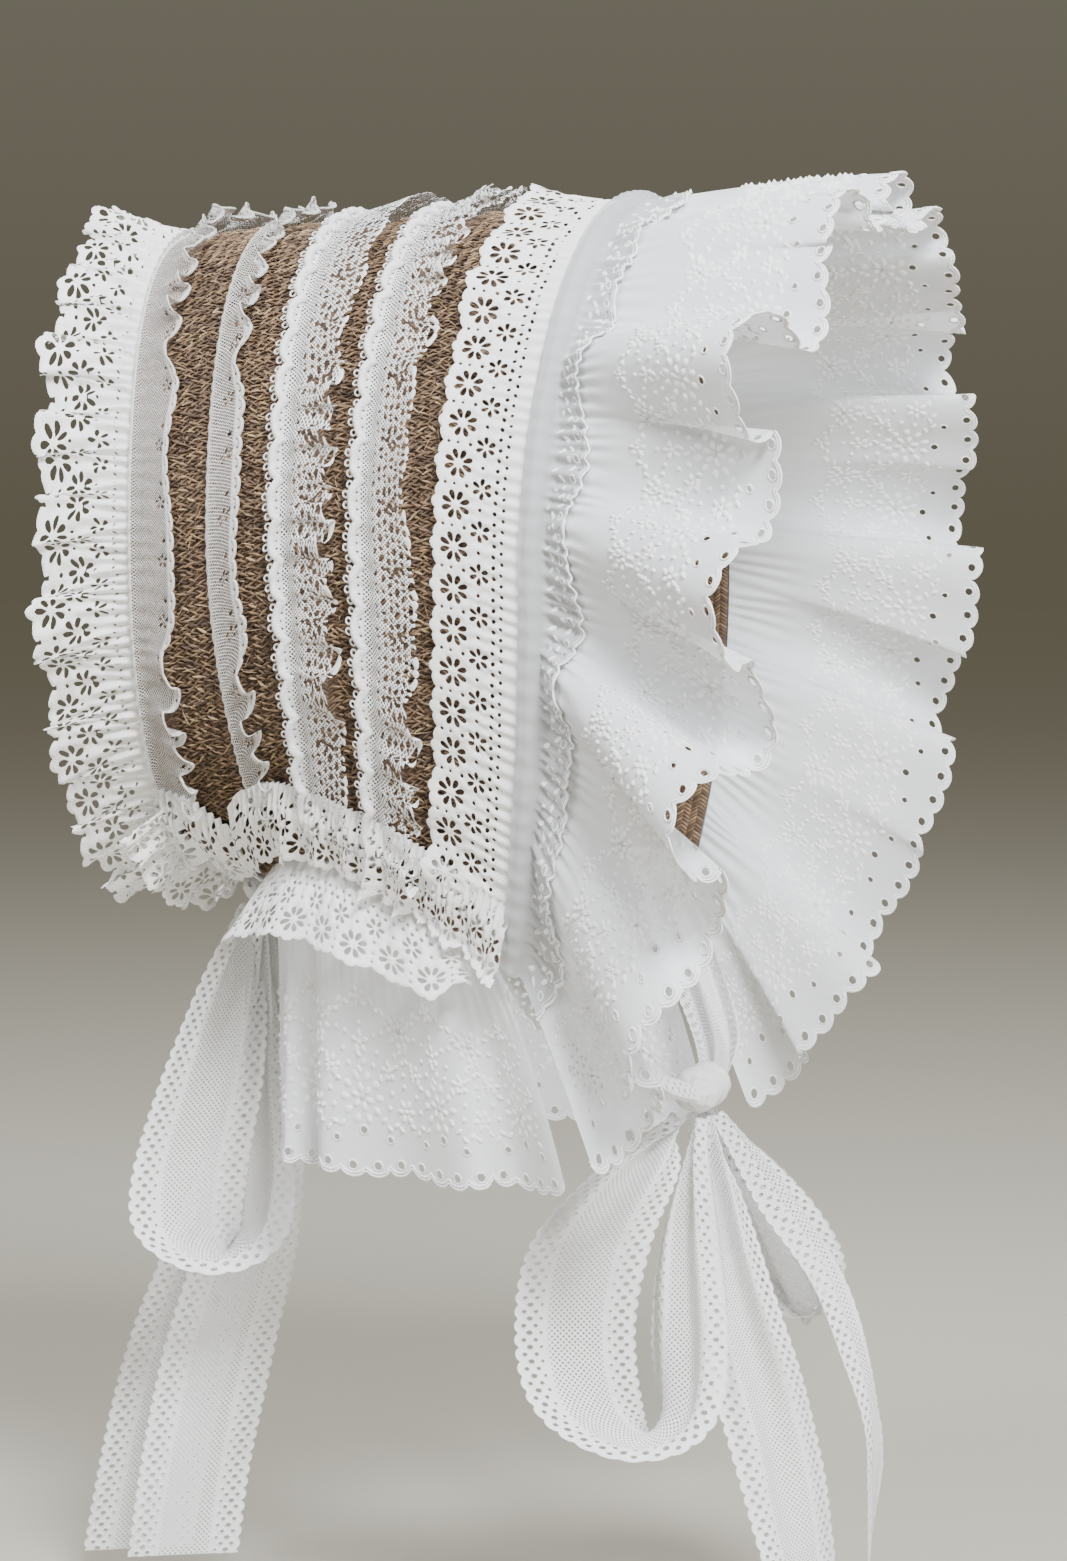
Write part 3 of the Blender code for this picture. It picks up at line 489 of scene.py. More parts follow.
strawWall = makeStraw("raffia_knit", False)
strawStitch = makeStraw("raffia_stitches", True)
print("materials")


def gridFaces(rows, columns, start=0):
    r, c = np.arange(rows - 1)[:, None] * columns, np.arange(columns - 1)[None, :]
    return np.stack((r + c, r + columns + c, r + columns + c + 1, r + c + 1), -1).reshape(-1, 4) + start


def wallFaces(rows, columns):
    # the two skins of a wall and the strips that close its four edges
    count = rows * columns
    top, bottom = np.arange(columns), count - 1 - np.arange(columns)
    right, left = np.arange(2, rows) * columns - 1, np.arange(rows - 2, 0, -1) * columns
    border = np.concatenate((top, right, bottom, left))
    after = np.roll(border, -1)
    edges = np.stack((border, after, after + count, border + count), 1)
    return [gridFaces(rows, columns), gridFaces(rows, columns, count)[:, ::-1], edges]


stations, turns = np.linspace(0, 1, straw["stations"]), np.linspace(-1, 1, straw["turns"])
stations, turns = np.meshgrid(stations, turns, indexing="ij")
skins = [crownPoint(stations, turns, np.full(stations.shape, side)).reshape(-1, 3) for side in (skin, -skin)]
wall = np.concatenate(skins)
# under the nape the two lower edges are drawn together
closed = crown["napeStation"]
under = smooth(np.abs(turns), 0.96, 1.0) * smooth(stations, closed + 0.005, closed - 0.02)
wall[:, 0] *= np.tile(1 - 0.97 * under.ravel(), 2)
flat = np.stack((turns * halfLength(stations), stations * crownLong), -1).reshape(-1, 2)
faces = wallFaces(straw["stations"], straw["turns"])
flat = np.concatenate((flat, flat))
buildPiece("straw_crown_knit", ["straw_crown"], wall, faces, strawWall, flat)


def strandPieces(count, angle, long, wide, high, lift, arch):
    # strands on a flat surface: offsets along the rows' way, across it and up, nine points each
    share = np.array((-1, 0, 1))[None, :, None]
    side, up = np.array((-0.5, 0.5, 0.0))[None, None, :], np.array((0.0, 0.0, 1.0))[None, None, :]
    columns = (np.broadcast_to(k, (count,))[:, None, None] for k in (angle, long, wide, high, lift, arch))
    angle, long, wide, high, lift, arch = columns
    narrow = 1 - 0.6 * np.abs(share)
    run, over = share * long / 2 + 0 * side, side * wide * narrow
    a, b = run * np.cos(angle) - over * np.sin(angle), run * np.sin(angle) + over * np.cos(angle)
    rise = lift + arch * (1 - share ** 2) + up * high * narrow
    caps = np.array(((2, 1, 0), (6, 7, 8)))
    return a, b, rise, [repeatFaces(face, count, 9) for face in (wrapFaces(3, 3), caps)]


def stitchRow(start, length, random):
    # where each stitch leg of one row of the knit lies: along, around, angle
    count = int(length / straw["stitchPitch"])
    place = np.arange(count) * straw["stitchPitch"]
    legs = []
    for side in (-1, 1):
        along = start + random.normal(0, 0.35, count)
        around = place + side * 0.58 + random.normal(0, 0.22, count)
        angle = -side * straw["slant"] + random.normal(0, straw["scatter"], count)
        legs.append((along, around, np.radians(angle)))
    return np.concatenate(legs, axis=1)


def layStrands(strands, along, around):
    a, b = strands[0] + along[:, None, None], strands[1] + around[:, None, None]
    station = np.clip(a / crownLong, 0.0, 1.0)
    turn = np.clip(b / halfLength(station), -0.999, 0.999)
    return crownPoint(station, turn, skin + straw["gap"] + strands[2] * mm).reshape(-1, 3)


random = np.random.default_rng(straw["seed"])
stitches = []
for low, high, sweep in straw["bands"]:
    for start in np.arange(low * crownLong, high * crownLong, straw["rowPitch"]):
        half = halfLength(start / crownLong)
        along, around, angle = stitchRow(start, 1.98 * half, random)
        around = around - 0.99 * half
        along = along + sweep * crownLong * smooth(np.abs(around) / half, 0.5, 1.0)
        stitches.append(np.stack((along, around, angle), 1))
stitches = np.concatenate(stitches)
count, wispCount = len(stitches), straw["wisps"]
legs = strandPieces(
    count, stitches[:, 2], straw["legLong"] * random.uniform(0.85, 1.2, count),
    straw["legWide"] * random.uniform(0.7, 1.25, count), straw["legHigh"] * random.uniform(0.7, 1.2, count),
    random.uniform(-0.05, 0.25, count), random.uniform(0.15, 0.5, count))
picked = stitches[random.integers(0, count, wispCount)]
wisps = strandPieces(
    wispCount, picked[:, 2] + random.normal(0, 0.5, wispCount), random.uniform(3, 8, wispCount), 0.35, 0.3,
    random.uniform(0.5, 0.8, wispCount), random.uniform(0.1, 0.7, wispCount))
points = np.concatenate([layStrands(k, at[:, 0], at[:, 1]) for k, at in ((legs, stitches), (wisps, picked))])
faces = legs[3] + [f + count * 9 for f in wisps[3]]
tone = np.concatenate((random.beta(2.0, 2.4, count), random.uniform(0.6, 1.0, wispCount)))
flat = np.stack([np.concatenate((legs[k], wisps[k])).ravel() for k in (1, 0)], 1)
flat = flat + np.repeat(random.uniform(0, 400, len(tone)), 9)[:, None]
shade = {"shade": np.repeat(tone, 9)}
buildPiece("straw_stitches", [], points, faces, strawStitch, flat, shade)
print("straw", count, "stitch legs")

# The oval tip that closes the back of the crown
tip = {
    "station": 0.030, "gap": 0.0006, "dome": 0.0060, "steps": 160, "rings": 24, "lastTurn": 0.99,
    "radius": 90.0,
}
tipTurns = np.linspace(-tip["lastTurn"], tip["lastTurn"], tip["steps"])
tipRim = crownPoint(tip["station"], tipTurns, np.full(tip["steps"], -skin - tip["gap"]))
tipMiddle = tipRim.mean(0)
tipLoop = np.concatenate((tipRim, tipRim[:1]))


def tipPoint(share, place, lift):
    # share 0 in the middle and 1 at the rim; place 0 to 1 round the rim; lift is backward
    at = np.mod(place, 1.0) * tip["steps"]
    rim = np.stack([np.interp(at, np.arange(tip["steps"] + 1), tipLoop[:, k]) for k in range(3)], -1)
    point = tipMiddle + (rim - tipMiddle) * np.asarray(share)[..., None]
    point[..., 1] += tip["dome"] * (1 - np.asarray(share) ** 2) + lift
    return point


shares, places = np.linspace(1, 0.02, tip["rings"]), np.arange(tip["steps"]) / tip["steps"]
shares, places = np.meshgrid(shares, places, indexing="ij")
middle = np.array([0.0])
points = [tipPoint(shares, places, lift).reshape(-1, 3) for lift in (0.0, -crown["straw"])]
points += [tipPoint(middle, middle, lift) for lift in (0.0, -crown["straw"])]
size = tip["rings"] * tip["steps"]
rim = np.arange(tip["steps"])
nextRim, last = np.roll(rim, -1), size - tip["steps"] + rim
nextLast, centre = np.roll(last, -1), np.full(tip["steps"], 2 * size)
wrapped = wrapFaces(tip["rings"], tip["steps"])
faces = [
    wrapped, wrapped[:, ::-1] + size, np.stack((rim, nextRim, nextRim + size, rim + size), 1),
    np.stack((last, centre, nextLast), 1), np.stack((last + size, nextLast + size, centre + 1), 1),
]
rimLong = np.linalg.norm(np.diff(tipRim, axis=0), axis=1).sum() / mm
flat = np.stack((places * rimLong * 0.7, shares * tip["radius"]), -1).reshape(-1, 2)
flat = np.concatenate((flat, flat, ((0, 0), (0, 0))))
buildPiece(
    "crown_tip_knit", ["crown_tip"], np.concatenate(points), faces, strawWall, flat,
    wrap=(0, rimLong * 0.7))

stitches = []
for start in np.arange(3.0, tip["radius"] - 1, straw["rowPitch"]):
    share = start / tip["radius"]
    along, around, angle = stitchRow(start, rimLong * share, random)
    stitches.append(np.stack((along, around / (rimLong * share), angle, 0 * along + share), 1))
stitches = np.concatenate(stitches)
count = len(stitches)
legs = strandPieces(
    count, stitches[:, 2], straw["legLong"] * random.uniform(0.85, 1.15, count),
    straw["legWide"] * random.uniform(0.7, 1.25, count), straw["legHigh"],
    random.uniform(0, 0.25, count), random.uniform(0.15, 0.5, count))
along, around, _, share = (stitches[:, k][:, None, None] for k in range(4))
points = tipPoint(
    np.clip((legs[0] + along) / tip["radius"], 0.005, 0.985), around + legs[1] / (rimLong * share),
    straw["gap"] + legs[2] * mm).reshape(-1, 3)
shade = {"shade": np.repeat(random.beta(2.0, 2.4, count), 9)}
flat = np.stack((legs[1].ravel(), legs[0].ravel()), 1) + np.repeat(random.uniform(0, 400, count), 9)[:, None]
buildPiece("crown_tip_stitches", [], points, legs[3], strawStitch, flat, shade, flip=True)
print("crown tip", count, "stitch legs")


# Lace patterns: above zero where there is thread, and 1 where the ground is a net
def slits(x, y, count, radius, long, wide, start=0.0):
    # leaf-shaped holes set like the spokes of a wheel, above zero inside a hole
    found = np.full(np.shape(x), -9.0)
    for k in range(count):
        a = start + tau * k / count
        right, up = x - radius * math.cos(a), y - radius * math.sin(a)
        along = right * math.cos(a) + up * math.sin(a)
        across = -right * math.sin(a) + up * math.cos(a)
        room = wide * (1 + 0.35 * along / long)
        found = np.maximum(found, (1 - np.hypot(along / long, across / room)) * wide)
    return found


def teeth(u, period, depth):
    # a row of round scallops, 0 at their tips and minus depth at the notches
    x = nearest(u, period) / (period / 2)
    return depth * (np.sqrt(np.maximum(1 - 0.9 * x * x, 0)) - 1) / (1 - math.sqrt(0.1))


def trimPattern(u, v, lace):
    # flowers and eyes, each at its distance along and in from a free edge with teeth
    wide = lace["wide"]
    edge = wide + teeth(u, *lace["teeth"]) + lace["swell"] * (np.cos(tau * u / lace["period"]) - 1)
    holes = np.full(np.shape(u), -9.0)
    for every, along, inward, *shape in lace["flowers"]:
        holes = np.maximum(holes, slits(nearest(u + along, every), v - (wide - inward), *shape))
    for every, along, inward, radius in lace["eyes"]:
        holes = np.maximum(holes, radius - np.hypot(nearest(u + along, every), v - (wide - inward)))
    net = smooth(v, 1.2, 2.0) * (1 - smooth(v, wide - 3.4, wide - 2.6)) if lace["netGround"] else 0.0
    return np.minimum(edge - v, -holes), net


def picotStart(u, lace):
    # the scalloped line that the thick cord follows
    x = nearest(u, lace["period"]) / (lace["period"] / 2)
    return 1.5 + 2.9 * (1 - np.sqrt(np.maximum(1 - 0.85 * x * x, 0))) / 0.61


def picotPattern(u, v, lace):
    # a scalloped start under the cord, net with pinholes, and an openwork flounce
    wide, start = lace["wide"], picotStart(u, lace)
    wander = 0.5 * np.sin(0.9 * u + 0.55 * v) + 0.4 * np.sin(0.37 * u - 1.1 * v + 2.0)
    edge = wide - 0.6 + teeth(u + wander, *lace["teeth"]) + 0.9 * np.sin(tau * u / 21.0)
    holes = 0.42 - np.hypot(nearest(u, lace["period"] / 5), v - start - 1.7)
    for every, along, down, radius in lace["eyes"]:
        across = nearest(u + wander + along, every)
        holes = np.maximum(holes, radius - np.hypot(across, v + 0.4 * wander - down))
    every, down, *shape = lace["flower"]
    holes = np.maximum(holes, slits(nearest(u, every), v - down, *shape))
    net = smooth(v, 4.0, 5.0) * (1 - 0.1 * smooth(v, 9.0, 10.0)) * (1 - smooth(v, wide - 2.6, wide - 1.8))
    return np.minimum(np.minimum(v - start, edge - v), -holes), net


def layLace(lace, threads=(), stitches=None):
    # one strip: its grid, its pattern, the threads on it, its gathers and its own stitches
    us = np.linspace(0, lace["long"], int(round(lace["long"] / lace["cell"])) + 1)
    vs = [np.arange(low, high - 1e-6, step) for low, high, step in lace["rows"]]
    vs = np.concatenate((*vs, lace["rows"][-1][1:2]))
    u, v = np.meshgrid(us, vs, indexing="ij")
    cutU, cutV, depth, faces = cutOut(us, vs, lace["pattern"](u, v, lace)[0])
    raised = lace["relief"] * smooth(depth, 0.0, 0.7)
    u, v, lift, faces = together((cutU, cutV, raised, faces), *threads)
    net = lace["pattern"](u, v, lace)[1] + np.zeros(len(u))
    net[len(cutU):] = 0
    points = lace["place"](u, v, lift * mm, lace)
    slot, flip = lace.get("slot", "cotton_lace"), lace.get("flip", False)
    flat, values = np.stack((u, v), 1), {"net": net}
    item = buildPiece(lace["name"], lace["nodes"], points, faces, lace["cotton"], flat, values, flip)
    worked = []
    if stitches:
        u, v, lift, faces = stitches
        points, flat = lace["place"](u, v, lift * mm, lace), np.stack((u, v), 1)
        worked = [buildPiece(lace["stitching"], [], points, faces, stitchCotton, flat, flip=flip)]
    print(lace["name"], len(item.data.polygons), "faces")


# Gathers: from flat millimetres to a place on the bonnet
def swell(phase):
    # 0 in each valley and 1 on each crest
    return 0.5 - 0.5 * np.cos(tau * phase)


def crownPlace(u, v, lift, lace):
    # a strip on the crown, waved more and more towards its free edge
    share, place = v / lace["wide"], u / lace["long"]
    aside = lace["turn"] * (2 * place - 1)
    phase = lace["waves"] * (place + lace["drift"] * np.sin(tau * 2.3 * place) / 6)
    grow = np.clip(share, 0, 1.15) ** 1.5
    uneven = 0.75 + 0.45 * np.sin(1.9 * phase + 0.7)
    crimp = np.sin(tau * u / lace["crimpLong"] + 1.3 * np.sin(tau * u / 31)) * (1 - smooth(share, 0.1, 0.9))
    height = lace["depth"] * grow * uneven * swell(phase) + lace["crimp"] * mm * (1 + crimp)
    # over the top of the head the free edge stands up
    ridge = 0.3 + 0.7 * np.exp(-(aside / 0.24) ** 2)
    stand = lace["stand"] * ridge * np.clip(share, 0, 1.1) ** 1.7
    height = height + stand * (0.8 + 0.3 * np.sin(2.3 * phase))
    height = height + lace.get("heading", 0.0) * np.exp(-((v - 1.5) / 1.2) ** 2)
    if "groove" in lace:
        height = height + lace["puff"] * (1 - np.exp(-((v - lace["groove"]) / 2.4) ** 2))
    turn = aside + lace.get("curl", 0.0) * grow * uneven * np.sin(2 * tau * phase) / 250
    station = lace["start"] + (lace["stop"] - lace["start"]) * share
    station = station + lace.get("sweep", 0.0) * smooth(np.abs(aside), 0.5, 1.0)
    station = station + lace.get("sway", 0.0) * grow * np.sin(tau * phase + 0.6) / crownLong
    return crownPoint(station, turn, laceLift + height + lift)


def backPlace(u, v, lift, lace):
    # the frill that stands off the back edge
    share, place = np.clip(v / lace["wide"], 0, 1.1), u / lace["long"]
    phase = lace["waves"] * place + 0.25 * np.sin(tau * 3.1 * place)
    swing = lace["depth"] * share ** 1.3 * (0.8 + 0.4 * np.sin(2.3 * phase)) * swell(phase)
    crinkle = np.sin(tau * u / 4.3 + 1.4 * np.sin(u / 13)) * (1 - 0.75 * smooth(share, 0.05, 0.8))
    crinkle = crinkle + 0.6 * np.sin(tau * u / 7.9 + 9 * share)
    swing = swing + 1.15 * mm * crinkle * smooth(share, 0.0, 0.08)
    turn = lace["turn"] * (2 * place - 1) + lace["curl"] * share ** 1.3 * np.sin(2 * tau * phase) / 250
    tilt, run = math.radians(lace["tilt"]), v * mm
    outward = crownOut(lace["station"], turn)
    away = laceLift + run * math.sin(tilt) + swing + lift
    point = crownBase(lace["station"], turn) + outward * away[..., None]
    point[..., 1] += run * math.cos(tilt)
    point[..., 2] -= 0.0025 * share ** 2
    return point


def napePlace(u, v, lift, lace):
    # the ruffle under the back edge, from side to side round the nape
    share, place = np.clip(v / lace["wide"], 0, 1.1), u / lace["long"]
    around = lace["fromTurn"] + 2 * (1 - lace["fromTurn"]) * place
    last = lace["lastTurn"]
    left = np.clip((around - last) / 0.03, 0, 1)[..., None]
    root, outward = 0.0, 0.0
    for turn, held in ((np.minimum(around, last), 1 - left), (np.maximum(around - 2, -last), left)):
        out = crownOut(lace["station"], turn)
        root = root + (crownBase(lace["station"], turn) + out * laceLift) * held
        outward = outward + out * held
    outward = unit(outward)
    tilt = math.radians(lace["tilt"])
    phase = lace["waves"] * place + 0.2 * np.sin(tau * 2.2 * place)
    swing = -0.5 * lace["depth"] * share * np.cos(tau * phase)
    swing = swing + 0.6 * mm * np.sin(tau * u / 4.1) * (1 - share)
    backward = np.array((0.0, 1.0, 0.0))
    leave = backward * math.cos(tilt) + outward * math.sin(tilt)
    across = backward * math.sin(tilt) - outward * math.cos(tilt)
    return root + leave * (v * mm)[..., None] + across * (swing - lift)[..., None]


def lowerEdge(place):
    # the crown's lower edge, from the right front end round the nape to the left
    share = np.abs(place - 0.5) * 2
    station = crown["napeStation"] + 0.66 * share ** 1.6
    point = crownBase(station, np.where(place < 0.5, -1.0, 1.0))
    point[..., 0] *= np.clip(share / 0.04, 0, 1)
    return point


def lowerPlace(u, v, lift, lace):
    # the flower lace that falls outside the lower edge
    share = np.clip(v / lace["wide"], 0, 1.1)
    place = lace["from"] + (lace["to"] - lace["from"]) * u / lace["long"]
    away = np.abs(place - 0.5) * 2
    point = lowerEdge(place)
    outward = unit(np.stack((point[..., 0], (point[..., 1] + 0.01) * 1.2, 0 * away), -1))
    swing = lace["depth"] * share * swell(lace["waves"] * u / lace["long"])
    swing = swing + 0.5 * mm * np.sin(tau * u / 4.6) * (1 - share)
    run = v * mm * (0.5 + 0.5 * smooth(away, 1.0, 0.88))
    point = point + outward * (0.0018 + run * (0.55 - 0.25 * away) + swing + lift)[..., None]
    point[..., 2] -= 0.0018 + run * 0.85
    return point


def edgeFrillPlace(u, v, lift, lace):
    # gathered along the crown's lower edge, over the ends of the bands, and hanging past it
    share, place = np.clip(v / lace["wide"], 0, 1.1), u / lace["long"]
    station = lace["low"] + (lace["high"] - lace["low"]) * place
    half = halfLength(station)
    top, pull = (np.interp(station, lace["stations"], lace[k]) for k in ("tops", "pull"))
    turn = top + v * pull / half
    held, past = np.minimum(turn, lace["lastTurn"]), np.maximum(turn - lace["lastTurn"], 0) * half * mm
    outward = crownOut(station, held * lace["side"])
    level = unit(outward * np.array((1.0, 1.0, 0.0)))
    phase = lace["waves"] * place + 0.3 * np.sin(tau * 1.7 * place)
    grow = share ** 1.2 * (0.8 + 0.45 * np.sin(2.1 * phase))
    crimp = 0.8 * mm * (1 + np.sin(tau * u / 4.1)) * (1 - smooth(share, 0.2, 0.9))
    height = skin + 0.0012 + 0.0022 * smooth(share, 0.0, 0.4) + lace["depth"] * grow * swell(phase)
    point = crownBase(station, held * lace["side"])
    point = point + outward * (height + crimp + lift)[..., None] + level * (past * 0.75)[..., None]
    point[..., 2] -= past * 0.85
    point[..., 1] += lace["curl"] * mm * grow * np.sin(2 * tau * phase)
    return point


# Three kinds of lace. A row of flowers is its pitch, how far along and in from the edge, then
# its slits, radius, slit length and width, and turn; a row of eyes is the same and a radius.
flowerLace = {
    "cotton": laceCotton, "pattern": trimPattern, "netGround": False, "relief": 0.35, "cell": 0.5,
    "period": 12.4, "teeth": (12.4 / 3, 1.0), "swell": 0.7,
    "flowers": ((12.4, 0.0, 7.4, 8, 2.9, 1.62, 0.80, math.pi / 8), (12.4, 6.2, 15.2, 6, 2.0, 1.25, 0.66)),
    "eyes": (
        (12.4, 6.2, 3.8, 0.55), (12.4, 6.2, 6.6, 0.5), (12.4, 6.2, 10.4, 0.62), (12.4, 0.0, 15.0, 0.6),
        (3.1, 0.0, 19.6, 0.66), (3.1, 1.55, 22.0, 0.58)),
}
fanLace = {
    "cotton": laceCotton, "pattern": trimPattern, "netGround": False, "relief": 0.35, "cell": 0.6,
    "period": 11.4, "teeth": (11.4 / 3, 1.2), "swell": 0.9,
    "flowers": (
        (11.4, 0.0, 6.3, 7, 2.5, 1.5, 0.74, math.pi / 2), (11.4, 5.7, 13.0, 7, 2.4, 1.4, 0.70, math.pi / 2),
        (11.4, 0.0, 19.0, 5, 1.8, 1.15, 0.62, math.pi / 2)),
    "eyes": (
        (11.4, 5.7, 3.4, 0.55), (11.4, 5.7, 7.2, 0.6), (11.4, 0.0, 11.2, 0.55), (11.4, 5.7, 17.6, 0.5),
        (2.85, 0.0, 23.5, 0.5)),
}
netLace = {
    "cotton": netCotton, "pattern": trimPattern, "netGround": True, "relief": 0.35,
    "period": 6.4, "teeth": (6.4, 1.1), "swell": 0.0, "flip": True,
    "flowers": ((19.2, 6.4, 5.4, 5, 1.5, 0.9, 0.5),), "eyes": ((19.2, 0.0, 4.6, 0.75), (3.2, 0.0, 1.7, 0.45)),
}

# Lace on the crown, from the rim back
cluny = {
    **flowerLace, "name": "cluny_lace", "nodes": ["cluny_lace_band"], "place": crownPlace,
    "start": 0.958, "stop": 0.760, "turn": 0.97, "waves": 12, "depth": 0.0034, "drift": 0.5,
    "wide": 27.7, "long": 43 * 12.4, "rows": ((0, 4, 1.0), (4, 27.9, 0.5)),
    "crimp": 0.4, "crimpLong": 4.1, "stand": 0.0045,
}
layLace(cluny)

# Eyes: pitch, how far along and down, and radius. The flower: pitch, how far down, and slits
picot = {
    "cotton": picotCottonShaded, "pattern": picotPattern, "place": crownPlace, "flip": True, "relief": 0.3,
    "cell": 0.54, "turn": 0.97, "depth": 0.0046, "wide": 25.4, "long": 40 * 13.0, "period": 13.0,
    "rows": ((0.8, 4.8, 0.5), (4.8, 9.6, 0.9), (9.6, 26.2, 0.55)),
    "crimp": 0.3, "crimpLong": 8.3, "groove": 6.4, "puff": 0.0020, "sway": 1.7, "curl": 1.8, "stand": 0.0050,
    "eyes": (
        (3.3, 0.0, 10.2, 0.62), (3.3, 1.65, 12.9, 0.88), (2.5, 0.0, 15.5, 0.72), (3.3, 1.65, 17.9, 0.98),
        (2.7, 0.0, 20.5, 0.85), (3.27, 1.635, 23.0, 1.05)),
    "flower": (19.6, 17.2, 6, 2.3, 1.2, 0.6, 0.3), "teeth": (3.27, 1.3), "loops": (-4.9, -1.65, 1.6, 4.85),
}
picotTrims = (
    {"name": "picot_trim_front", "nodes": ["picot_lace_front"], "start": 0.562, "stop": 0.718, "waves": 22,
     "drift": 0.6, "sweep": 0.035},
    {"name": "picot_trim_rear", "nodes": ["picot_lace_rear"], "start": 0.372, "stop": 0.530, "waves": 21,
     "drift": -0.5, "sweep": 0.045},
)
cordU = np.arange(0, picot["long"], 0.7)
cord = flatTube(cordU, picotStart(cordU, picot) + 0.4, 1.0, 1.25, 7)
repeats = np.arange(int(picot["long"] / picot["period"]) + 1)[:, None]
loopU = (repeats * picot["period"] + picot["loops"]).ravel()
loopU = loopU[(loopU > 0) & (loopU < picot["long"])]
loops = flatRings(loopU, picotStart(loopU, picot) - 1.9, 1.0, 0.34, 0.7)
for trim in picotTrims:
    layLace({**picot, **trim}, (cord, loops))

netFrills = (
    {"name": "narrow_net_frill", "nodes": ["narrow_frill"], "start": 0.219, "stop": 0.292, "turn": 0.93,
     "waves": 24, "depth": 0.0040, "drift": 0.5, "sweep": 0.05, "wide": 11.8, "long": 78 * 6.4, "cell": 0.58,
     "rows": ((0, 3, 0.6), (3, 6, 1.0), (6, 12, 0.5)), "heading": 0.0014, "crimp": 0.3, "crimpLong": 4.7,
     "sway": 2.2, "curl": 1.4, "stand": 0.0055},
    {"name": "rear_net_frill", "nodes": ["rear_frill"], "start": 0.026, "stop": 0.130, "turn": 0.82,
     "waves": 23, "depth": 0.0042, "drift": 0.5, "sweep": 0.012, "wide": 20.4, "long": 76 * 6.4, "cell": 0.64,
     "rows": ((0, 4, 0.6), (4, 14, 1.0), (14, 20.6, 0.55)), "heading": 0.0024, "crimp": 0.35,
     "crimpLong": 5.3, "sway": 2.6, "curl": 1.4, "stand": 0.0075},
)
for frill in netFrills:
    edgeU = np.arange(0, frill["long"], 0.8)
    edgeCord = flatTube(edgeU, frill["wide"] - 0.5 + teeth(edgeU, *netLace["teeth"]), 0.4, 0.5, 4)
    layLace({**netLace, **frill, "place": crownPlace}, (edgeCord,))

backFrill = {
    **fanLace, "name": "back_edge_lace", "nodes": ["back_edge_frill"], "place": backPlace,
    "station": 0.028, "turn": 0.985, "tilt": 16, "waves": 18, "depth": 0.0062, "curl": 3.5,
    "wide": 28.6, "long": 62 * 11.4, "rows": ((0, 4, 1.0), (4, 28.8, 0.6)),
}
layLace(backFrill)
nape = {
    **fanLace, "name": "nape_lace", "nodes": ["nape_ruffle"], "place": napePlace, "cell": 0.55,
    "station": 0.05, "fromTurn": 0.82, "lastTurn": 0.985, "tilt": 58, "waves": 8, "depth": 0.006,
    "wide": 20, "long": 14 * 11.4, "rows": ((0, 3, 1.0), (3, 20.2, 0.55)),
}
layLace(nape)

lower = {
    **flowerLace, "place": lowerPlace, "waves": 4, "depth": 0.0038,
    "wide": 28, "long": 9 * 12.4, "rows": ((0, 5, 1.0), (5, 28.2, 0.5)),
}
for side, low, high in (("right", 0.0, 0.44), ("left", 0.56, 1.0)):
    names = {"name": "lower_edge_flowers_" + side, "nodes": ["lower_edge_lace_" + side]}
    layLace({**lower, **names, "from": low, "to": high})

# tops and pull give, at each station, the turn where the frill starts and how far it is drawn
edgeFrill = {
    **fanLace, "nodes": [], "place": edgeFrillPlace, "low": 0.02, "high": 0.972,
    "stations": (0.0, 0.12, 0.19, 0.27, 0.45, 0.95), "tops": (0.79, 0.805, 0.83, 0.865, 0.90, 0.925),
    "pull": (1.2, 1.45, 1.55, 1.25, 1.0, 1.0), "lastTurn": 0.998, "waves": 10, "depth": 0.0052, "curl": 1.6,
    "wide": 24, "long": 22 * 11.4, "rows": ((0, 4, 1.0), (4, 24.2, 0.6)), "areaShare": 0.85,
}
for side, sign in (("right", -1), ("left", 1)):
    layLace({**edgeFrill, "name": "lower_edge_frill_" + side, "side": sign, "flip": side == "left"})
print("crown laces")

# The face ruffle: how it leaves the rim, from the wearer's right end over the top to the left
ruffle = {
    "flare": (18, 26, 29, 24, 1, 24, 29, 26, 18),
    "fall": (58, 28, 9, 8, 0, 6, 4, 22, 56),
    "width": (0.056, 0.076, 0.086, 0.086, 0.081, 0.086, 0.086, 0.079, 0.060),
    "folds": 24, "depth": 0.0195, "droop": 0.005, "rootGap": 0.0007, "clothGap": 0.0004,
    "gathers": 150, "gatherDepth": 0.0007, "overlap": 0.0085, "lean": 0.0090,
    "fine": 18.0, "deepest": 86.0,
}
